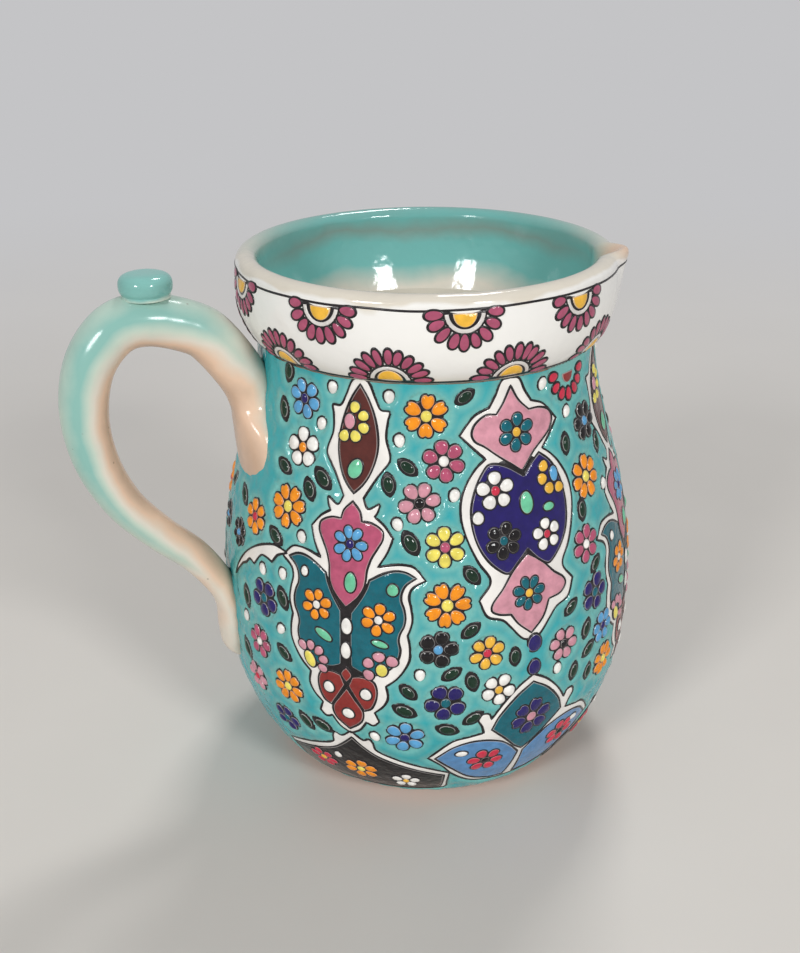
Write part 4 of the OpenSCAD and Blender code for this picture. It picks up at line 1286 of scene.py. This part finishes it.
class JUG_OT_rosettes(Operator):
    """Paints the half rosettes that hang and stand on the collar"""
    bl_idname = "jug.rosettes"
    bl_label = "Collar rosettes"

    def execute(self, context):
        m, _, stage = props()
        rng = random.Random(stage.seed + 2)
        body, collar = jug_walls(m)
        petals, rings, hearts, dark, red, wine = Relief(), Relief(), Relief(), Relief(), Relief(), Relief()

        def half_rosette(wall, turn, z, up, radius, petal_relief, heart_relief, ring_relief, count):
            long = (radius - RING_OUT * radius / ROSETTE_R) / 2
            reach = radius - long
            half_w = reach * math.sin(math.pi / 2 / (count - 1)) * ROSETTE_FILL

            def bow(across, high, rise, angles):
                return np.stack([across * np.cos(angles), up * (rise + high * np.sin(angles))], axis=1)

            for i in range(count):
                a = FIRST_PETAL + PETAL_SWEEP * i / (count - 1) + rng.uniform(-ROSETTE_SWAY, ROSETTE_SWAY)
                shape = petal(long * rng.uniform(*ROSETTE_LONG), half_w * rng.uniform(*ROSETTE_WIDE), 0)
                shape = swung(shape + np.array([reach, 0]), up * a)
                bead(petal_relief, dark, wall, turn, z, shape, 0.0, PAINTED_BEAD, PAINTED_MARGIN)
            arc = np.radians(np.linspace(2, 178, 26))
            if ring_relief is not None:
                outer = bow(RING_OUT, RING_OUT, RING_RISE, arc)
                inner = bow(RING_IN, RING_IN, RING_RISE, arc)[::-1]
                turns, heights = wall.around(turn, z, np.vstack([outer, inner]))
                strip = np.stack([np.radians(turns - turn) * wall.radius(heights), heights], axis=1)
                patch(ring_relief, wall, turn, anticlockwise(strip), RING_BASE, RING_TOP, RING_EDGE)
                wide = RING_OUT * UNDER_RING
                under = np.vstack([outer * UNDER_RING, [[-wide, -up * UNDER_DROP], [wide, -up * UNDER_DROP]]])
                mound(dark, wall, turn, z, anticlockwise(under), 0.0, UNDER_H, SLIP)
            half = np.radians(np.linspace(0, 180, 16))
            core = bow(HEART_W, HEART_H, HEART_RISE, half) * radius / ROSETTE_R
            mound(heart_relief, wall, turn, z, anticlockwise(core), HEART_BASE, PAINTED_BEAD, DOME)

        for hang in HANGING_TURNS:
            half_rosette(collar, hang, m.rim_z - HANG_DROP, -1, ROSETTE_R, petals, hearts, rings,
                         ROSETTE_PETALS)
        for i in range(STANDING):
            stand = STANDING_TURN + 360 * i / STANDING
            half_rosette(collar, stand, m.collar_z + STAND_RISE, 1, STANDING_SHARE * ROSETTE_R, petals,
                         hearts, rings, ROSETTE_PETALS + 2)
        for turn in BA_GAPS:
            half_rosette(body, turn, m.collar_z - RED_DROP, -1, RED_R, red, wine, None, RED_PETALS)
        relief_piece("rosette_petal_beads", petals, enamel_for("mauve"), ("rosette_petals",))
        relief_piece("rosette_ring_bands", rings, enamel_for("white"), ("rosette_rings",))
        relief_piece("rosette_heart_beads", hearts, enamel_for("amber"), ("rosette_centres",))
        relief_piece("red_half_rosettes", red, enamel_for("red"))
        relief_piece("red_rosette_hearts", wine, enamel_for("russet"))
        relief_piece("rosette_lines", dark, slip_finish())
        return {"FINISHED"}


INSIDE_ROWS = 90
INSIDE_TURNS = 240
FLOOR_RINGS = 14
FLOOR_MIDDLE = 0.02


class JUG_OT_inside(Operator):
    """Glazes the inside from the collar's seat to the floor"""
    bl_idname = "jug.inside"
    bl_label = "Inside glaze"

    def execute(self, context):
        m, colours, _ = props()
        heights = np.linspace(m.collar_z, m.floor_t + m.glaze_t, INSIDE_ROWS)
        radii = body_radius(m, heights) - m.wall_t - m.glaze_t
        close = np.linspace(1, FLOOR_MIDDLE, FLOOR_RINGS)[1:]
        section_r = np.concatenate([radii, radii[-1] * close])
        section_z = np.concatenate([heights, np.full(len(close), heights[-1])])
        turns = np.radians(np.linspace(0, 360, INSIDE_TURNS, endpoint=False))
        points = turned_points(section_r, section_z, turns)
        drop = np.repeat((m.collar_z - section_z) / (m.collar_z - m.floor_t), len(turns))
        cream = colour_of(colours, "cream")
        material, tree, shader = finish("inside_glaze", roughness=0.08)
        drift = wandering(tree, "drop", scale=30, detail=3, low=-0.04, high=0.04)
        # The glaze dims towards the floor: painted shade deep inside the jug
        tree.links.new(ramp(tree, drift, ((0, cream), (1, tinted(cream, 0.92)))), shader.inputs["Base Color"])
        dappled(tree, shader, scale=90, height=0.3)
        faces = capped_faces(len(section_r), len(turns), first=False)
        piece("inside_coat", points, faces, material, ("interior_glaze",), {"drop": drop})
        return {"FINISHED"}


# Handle rows: share of the way from the wall to the reach, height from the collar's seat, and shares of the
# full width, of the full thickness and of a tongue's width
HANDLE_ROUTE = (
    (-0.058, -48.3, 0, 0.14, 0.78), (-0.029, -42.3, 0, 0.36, 0.98), (-0.005, -34.8, 0, 0.58, 1),
    (0.021, -26.8, 0.12, 0.76, 0.8), (0.053, -18.3, 0.65, 0.91, 0.16), (0.013, -9.6, 0.95, 0.97, 0),
    (0.168, 2.8, 1, 1, 0), (0.298, 8.6, 1, 1, 0), (0.564, 13, 1, 1, 0), (0.771, 10.8, 1, 1, 0),
    (0.937, -0.2, 1, 0.96, 0), (1, -16.5, 0.97, 0.92, 0), (0.958, -34, 0.92, 0.85, 0),
    (0.806, -50.3, 0.87, 0.76, 0), (0.559, -63.4, 0.83, 0.7, 0), (0.3, -74, 0.78, 0.67, 0),
    (0.103, -86, 0.6, 0.6, 0.15), (0.035, -94.6, 0.3, 0.56, 0.6), (0.029, -104, 0.06, 0.54, 0.92),
    (0.019, -110.6, 0, 0.5, 0.86), (-0.029, -115.4, 0, 0.26, 0.6), (-0.058, -118.4, 0, 0.12, 0.4))
CROWN_ROW = 8
# Height from the collar's seat above which a row takes its share from the collar's widest part
BESIDE_COLLAR = -12
HANDLE_ROWS = 260
HANDLE_SIDES = 56
SLOPE_STEP = 0.002
# Shares of the handle's length over which its glaze comes in and goes out, the thin glaze left at its ends,
# and how much glaze lies from its inner side round to its outer side; where there is least, on the inner
# side, the peach is also darkened as painted shade
GLAZE_IN = (0.22, 0.36)
GLAZE_OUT = (0.58, 0.76)
THIN_SHARE = 0.35
SIDE_PLACES = (-1, -0.5, -0.1, 0.35, 1)
SIDE_GLAZE = (0, 0.3, 0.55, 1, 0.7)
SPECK_SCALE = 130


def handle_path(m):
    """Rows of distance from the axis, height, half width, half thickness and bend round the wall."""
    rows = []
    for index, (share, rise, width, thick, tongue) in enumerate(HANDLE_ROUTE):
        z = m.collar_z + rise
        wall = m.bulge_r if rise > BESIDE_COLLAR else float(body_radius(m, np.array(z)))
        tongue_w = m.upper_tongue_w if index < CROWN_ROW else m.lower_tongue_w
        rows.append((wall + share * (m.handle_reach - wall), z, (width * m.handle_w + tongue * tongue_w) / 2,
                     thick * m.handle_t / 2, tongue))
    return np.array(rows)


def along(path, u):
    """The handle's rows at shares u of its length, on a smooth curve."""
    last = len(path) - 1
    i = np.clip(np.floor(u * last).astype(int), 0, last - 1)
    t = (u * last - i)[:, None]
    a, b, c, d = path[np.maximum(i - 1, 0)], path[i], path[i + 1], path[np.minimum(i + 2, last)]
    bend = 2 * a - 5 * b + 4 * c - d
    return 0.5 * (2 * b + (c - a) * t + bend * t ** 2 + (3 * b - a - 3 * c + d) * t ** 3)


class JUG_OT_handle(Operator):
    """Pulls the looped handle and smooths its tongues on to the wall"""
    bl_idname = "jug.handle"
    bl_label = "Handle"

    def execute(self, context):
        m, colours, _ = props()
        path = handle_path(m)
        u = np.linspace(0, 1, HANDLE_ROWS)
        row = along(path, u)
        run = along(path, np.minimum(u + SLOPE_STEP, 1)) - along(path, np.maximum(u - SLOPE_STEP, 0))
        size = np.hypot(run[:, 0], run[:, 1])
        a = np.linspace(0, 2 * math.pi, HANDLE_SIDES, endpoint=False)
        lift = row[:, 3][:, None] * np.sin(a)[None]
        reach = row[:, 0][:, None] - (run[:, 1] / size)[:, None] * lift
        y = row[:, 2][:, None] * np.cos(a)[None]
        x = -np.sqrt(reach ** 2 - (row[:, 4][:, None] * y) ** 2)
        z = row[:, 1][:, None] + (run[:, 0] / size)[:, None] * lift
        points = np.stack([x, y, z], axis=-1).reshape(-1, 3)
        outside = np.broadcast_to(np.sin(a)[None], x.shape)
        spread = (smooth(*GLAZE_IN, u) * (1 - smooth(*GLAZE_OUT, u)))[:, None]
        around = np.interp(outside, SIDE_PLACES, SIDE_GLAZE)
        coat = (around * (THIN_SHARE + (1 - THIN_SHARE) * spread)).ravel()
        cream, peach = colour_of(colours, "cream"), colour_of(colours, "peach")
        glaze, pale = colour_of(colours, "handle"), colour_of(colours, "handle_pale")
        material, tree, shader = finish("handle_glaze", roughness=0.17)
        drift = wandering(tree, "coat", scale=45, detail=4, low=-0.12, high=0.12)
        # The darkest peach, where the glaze value is lowest on the handle's inner side, is painted shade; the
        # peach itself is clear glaze over bare clay
        tone = ramp(tree, drift, ((0.02, tinted(peach, 0.84)), (0.2, tinted(peach, 1.1)), (0.4, cream),
                                  (0.6, pale), (0.95, glaze)))
        specks = tree.nodes.new("ShaderNodeTexVoronoi")
        specks.inputs["Scale"].default_value = SPECK_SCALE
        place = tree.nodes.new("ShaderNodeTexCoord")
        tree.links.new(place.outputs["Object"], specks.inputs["Vector"])
        dots = ramp(tree, specks.outputs["Distance"], ((0.03, (0.5, 0.5, 0.5)), (0.06, (0, 0, 0))))
        tree.links.new(layered(tree, dots, tone, tinted(peach, 0.25)), shader.inputs["Base Color"])
        dappled(tree, shader, scale=60, height=0.5)
        faces = capped_faces(HANDLE_ROWS, HANDLE_SIDES)
        piece("pulled_handle", points, faces, material, ("handle",), {"coat": coat})
        return {"FINISHED"}


# The button's section: powers of its crown and side, its straight lower part, and the radius of its flat ends
CROWN_POWER = 0.8
SIDE_POWER = 0.45
NECK_ANGLE = -0.75
NECK_SHARE = 0.9
END_R = 0.2
BUTTON_ROWS = 40
BUTTON_TURNS = 72


class JUG_OT_button(Operator):
    """Sets the rounded thumb button on the handle's crown"""
    bl_idname = "jug.button"
    bl_label = "Thumb button"

    def execute(self, context):
        _, colours, _ = props()
        centre = 0.5 * (np.array(BUTTON_LOW) + np.array(BUTTON_HIGH)) / MM
        half = (BUTTON_HIGH[0] - BUTTON_LOW[0]) / MM / 2
        low, high = BUTTON_LOW[2] / MM, BUTTON_HIGH[2] / MM
        a = np.linspace(-math.pi / 2, math.pi / 2, BUTTON_ROWS)
        bulge = np.sign(np.sin(a)) * np.abs(np.sin(a)) ** CROWN_POWER
        section_r = half * np.cos(a) ** SIDE_POWER
        section_z = (low + high) / 2 + (high - low) / 2 * bulge
        neck = a < NECK_ANGLE
        section_r[neck] = np.maximum(section_r[neck], NECK_SHARE * half)
        section_r[0] = section_r[-1] = END_R
        turns = np.radians(np.linspace(0, 360, BUTTON_TURNS, endpoint=False))
        points = turned_points(section_r, section_z, turns, centre[0], centre[1])
        rise = np.repeat((section_z - low) / (high - low), len(turns))
        glaze = halfway(colour_of(colours, "handle"), colour_of(colours, "ground_thin"))
        pale = colour_of(colours, "handle_pale")
        material, tree, shader = finish("button_glaze", roughness=0.12)
        drift = wandering(tree, "rise", scale=90, detail=3, low=-0.12, high=0.12)
        tone = ramp(tree, drift, ((0.05, pale), (0.22, glaze), (0.6, tinted(glaze, 0.94)),
                                  (1, tinted(glaze, 1.1))))
        tree.links.new(tone, shader.inputs["Base Color"])
        dappled(tree, shader, scale=90, height=0.3)
        faces = capped_faces(len(section_r), len(turns))
        piece("button_knob", points, faces, material, ("thumb_button",), {"rise": rise})
        return {"FINISHED"}


CAMERA_PLACE = (-0.14483, -0.39364, 0.29191)
FLOOR_SIZE = 14.0
BACKDROP_NEAR = 0.2
BACKDROP_FAR = 1.1
LAMP_DISTANCE = 2.4
LAMP_SIZE = 0.5
LAMP_TARGET = (0, 0, 0.1)
SKY_TINT = (0.92, 0.95, 1.0, 1)
FRAME_WIDTH = 36
NEAR_CLIP = 0.01
# Lamps: turn from the view, height in degrees and share of the power
LAMPS = ((-34, 26, 1), (34, 26, 1), (165, 58, 0.75))
SKY = 0.28


def seen_rays(tree):
    """1 for rays that show the background: to the camera, in reflections and through glass."""
    path = tree.nodes.new("ShaderNodeLightPath")
    direct = total(tree, path.outputs["Is Camera Ray"], path.outputs["Is Glossy Ray"], "MAXIMUM")
    return total(tree, direct, path.outputs["Is Transmission Ray"], "MAXIMUM")


class JUG_OT_stage(Operator):
    """Sets the pale floor, the soft lamps and the camera"""
    bl_idname = "jug.stage"
    bl_label = "Stage"

    def execute(self, context):
        _, colours, stage = props()
        scene = context.scene
        scene.view_settings.view_transform = "Standard"
        reach = FLOOR_SIZE / 2
        mesh = bpy.data.meshes.new("floor")
        mesh.from_pydata([(-reach, -reach, 0), (reach, -reach, 0), (reach, reach, 0), (-reach, reach, 0)], [],
                         [(0, 1, 2, 3)])
        floor = bpy.data.objects.new("floor", mesh)
        scene.collection.objects.link(floor)
        tone = colour_of(colours, "floor")
        material, tree, shader = mottled("pale_floor", 0.6, tone, (0.97, 1.02), scale=6, detail=3)
        place = tree.nodes.new("ShaderNodeTexCoord")
        distance = tree.nodes.new("ShaderNodeVectorMath")
        distance.operation = "LENGTH"
        tree.links.new(place.outputs["Object"], distance.inputs[0])
        fade = tree.nodes.new("ShaderNodeMapRange")
        fade.interpolation_type = "SMOOTHSTEP"
        fade.inputs["From Min"].default_value = BACKDROP_NEAR
        fade.inputs["From Max"].default_value = BACKDROP_FAR
        tree.links.new(distance.outputs["Value"], fade.inputs["Value"])
        seen = total(tree, fade.outputs["Result"], seen_rays(tree), "MULTIPLY")
        glow = tree.nodes.new("ShaderNodeEmission")
        glow.inputs["Color"].default_value = (*colour_of(colours, "backdrop"), 1)
        both = tree.nodes.new("ShaderNodeMixShader")
        tree.links.new(seen, both.inputs["Fac"])
        tree.links.new(shader.outputs["BSDF"], both.inputs[1])
        tree.links.new(glow.outputs["Emission"], both.inputs[2])
        tree.links.new(both.outputs["Shader"], tree.nodes["Material Output"].inputs["Surface"])
        mesh.materials.append(material)
        target = Vector(LAMP_TARGET)
        facing = math.radians(-90) - stage.camera_turn
        for number, (turn, height, share) in enumerate(LAMPS):
            lamp = bpy.data.lights.new(f"soft_lamp_{number}", "AREA")
            lamp.shape = "SQUARE"
            lamp.size = LAMP_SIZE
            lamp.energy = stage.lamp_power * share
            holder = bpy.data.objects.new(lamp.name, lamp)
            scene.collection.objects.link(holder)
            angle = facing + math.radians(turn)
            level = math.radians(height)
            flat = math.cos(level)
            away = Vector((flat * math.cos(angle), flat * math.sin(angle), math.sin(level)))
            holder.location = target + LAMP_DISTANCE * away
            holder.rotation_euler = (target - holder.location).to_track_quat("-Z", "Y").to_euler()
        world = bpy.data.worlds.new("studio")
        world.use_nodes = True
        sky = world.node_tree
        background = sky.nodes["Background"]
        background.inputs["Color"].default_value = SKY_TINT
        background.inputs["Strength"].default_value = SKY
        pale = sky.nodes.new("ShaderNodeBackground")
        pale.inputs["Color"].default_value = (*colour_of(colours, "backdrop"), 1)
        blend = sky.nodes.new("ShaderNodeMixShader")
        sky.links.new(seen_rays(sky), blend.inputs["Fac"])
        sky.links.new(background.outputs["Background"], blend.inputs[1])
        sky.links.new(pale.outputs["Background"], blend.inputs[2])
        sky.links.new(blend.outputs["Shader"], sky.nodes["World Output"].inputs["Surface"])
        scene.world = world
        lens = bpy.data.cameras.new("view")
        lens.lens = stage.lens
        lens.sensor_width = FRAME_WIDTH
        lens.sensor_fit = "HORIZONTAL"
        lens.clip_start = NEAR_CLIP
        camera = bpy.data.objects.new("view", lens)
        scene.collection.objects.link(camera)
        look = (Matrix.Rotation(-stage.camera_turn, 4, "Z")
                @ Matrix.Rotation(math.pi / 2 - stage.camera_pitch, 4, "X")
                @ Matrix.Rotation(stage.camera_roll, 4, "Z"))
        camera.matrix_world = Matrix.Translation(CAMERA_PLACE) @ look
        scene.camera = camera
        return {"FINISHED"}


OPERATORS = (JUG_OT_clay, JUG_OT_columns, JUG_OT_flowers, JUG_OT_ground, JUG_OT_collar, JUG_OT_rosettes,
             JUG_OT_inside, JUG_OT_handle, JUG_OT_button, JUG_OT_stage)


class JUG_PT_panel(Panel):
    """Lists the steps that dress the jug"""
    bl_idname = "JUG_PT_panel"
    bl_label = "Pouring jug"
    bl_space_type = "VIEW_3D"
    bl_region_type = "UI"
    bl_category = "Jug"

    def draw(self, context):
        for step in OPERATORS:
            self.layout.operator(step.bl_idname)


CLASSES = (JugSizes, JugColours, JugStage) + OPERATORS + (JUG_PT_panel,)


def register():
    for cls in CLASSES:
        bpy.utils.register_class(cls)
    bpy.types.Scene.jug_sizes = PointerProperty(type=JugSizes)
    bpy.types.Scene.jug_colours = PointerProperty(type=JugColours)
    bpy.types.Scene.jug_stage = PointerProperty(type=JugStage)


def unregister():
    del bpy.types.Scene.jug_stage
    del bpy.types.Scene.jug_colours
    del bpy.types.Scene.jug_sizes
    for cls in reversed(CLASSES):
        bpy.utils.unregister_class(cls)


def main():
    register()
    bpy.ops.jug.clay()
    bpy.ops.jug.columns()
    bpy.ops.jug.flowers()
    bpy.ops.jug.ground()
    bpy.ops.jug.collar()
    bpy.ops.jug.rosettes()
    bpy.ops.jug.inside()
    bpy.ops.jug.handle()
    bpy.ops.jug.button()
    bpy.ops.jug.stage()


if __name__ == "__main__":
    main()
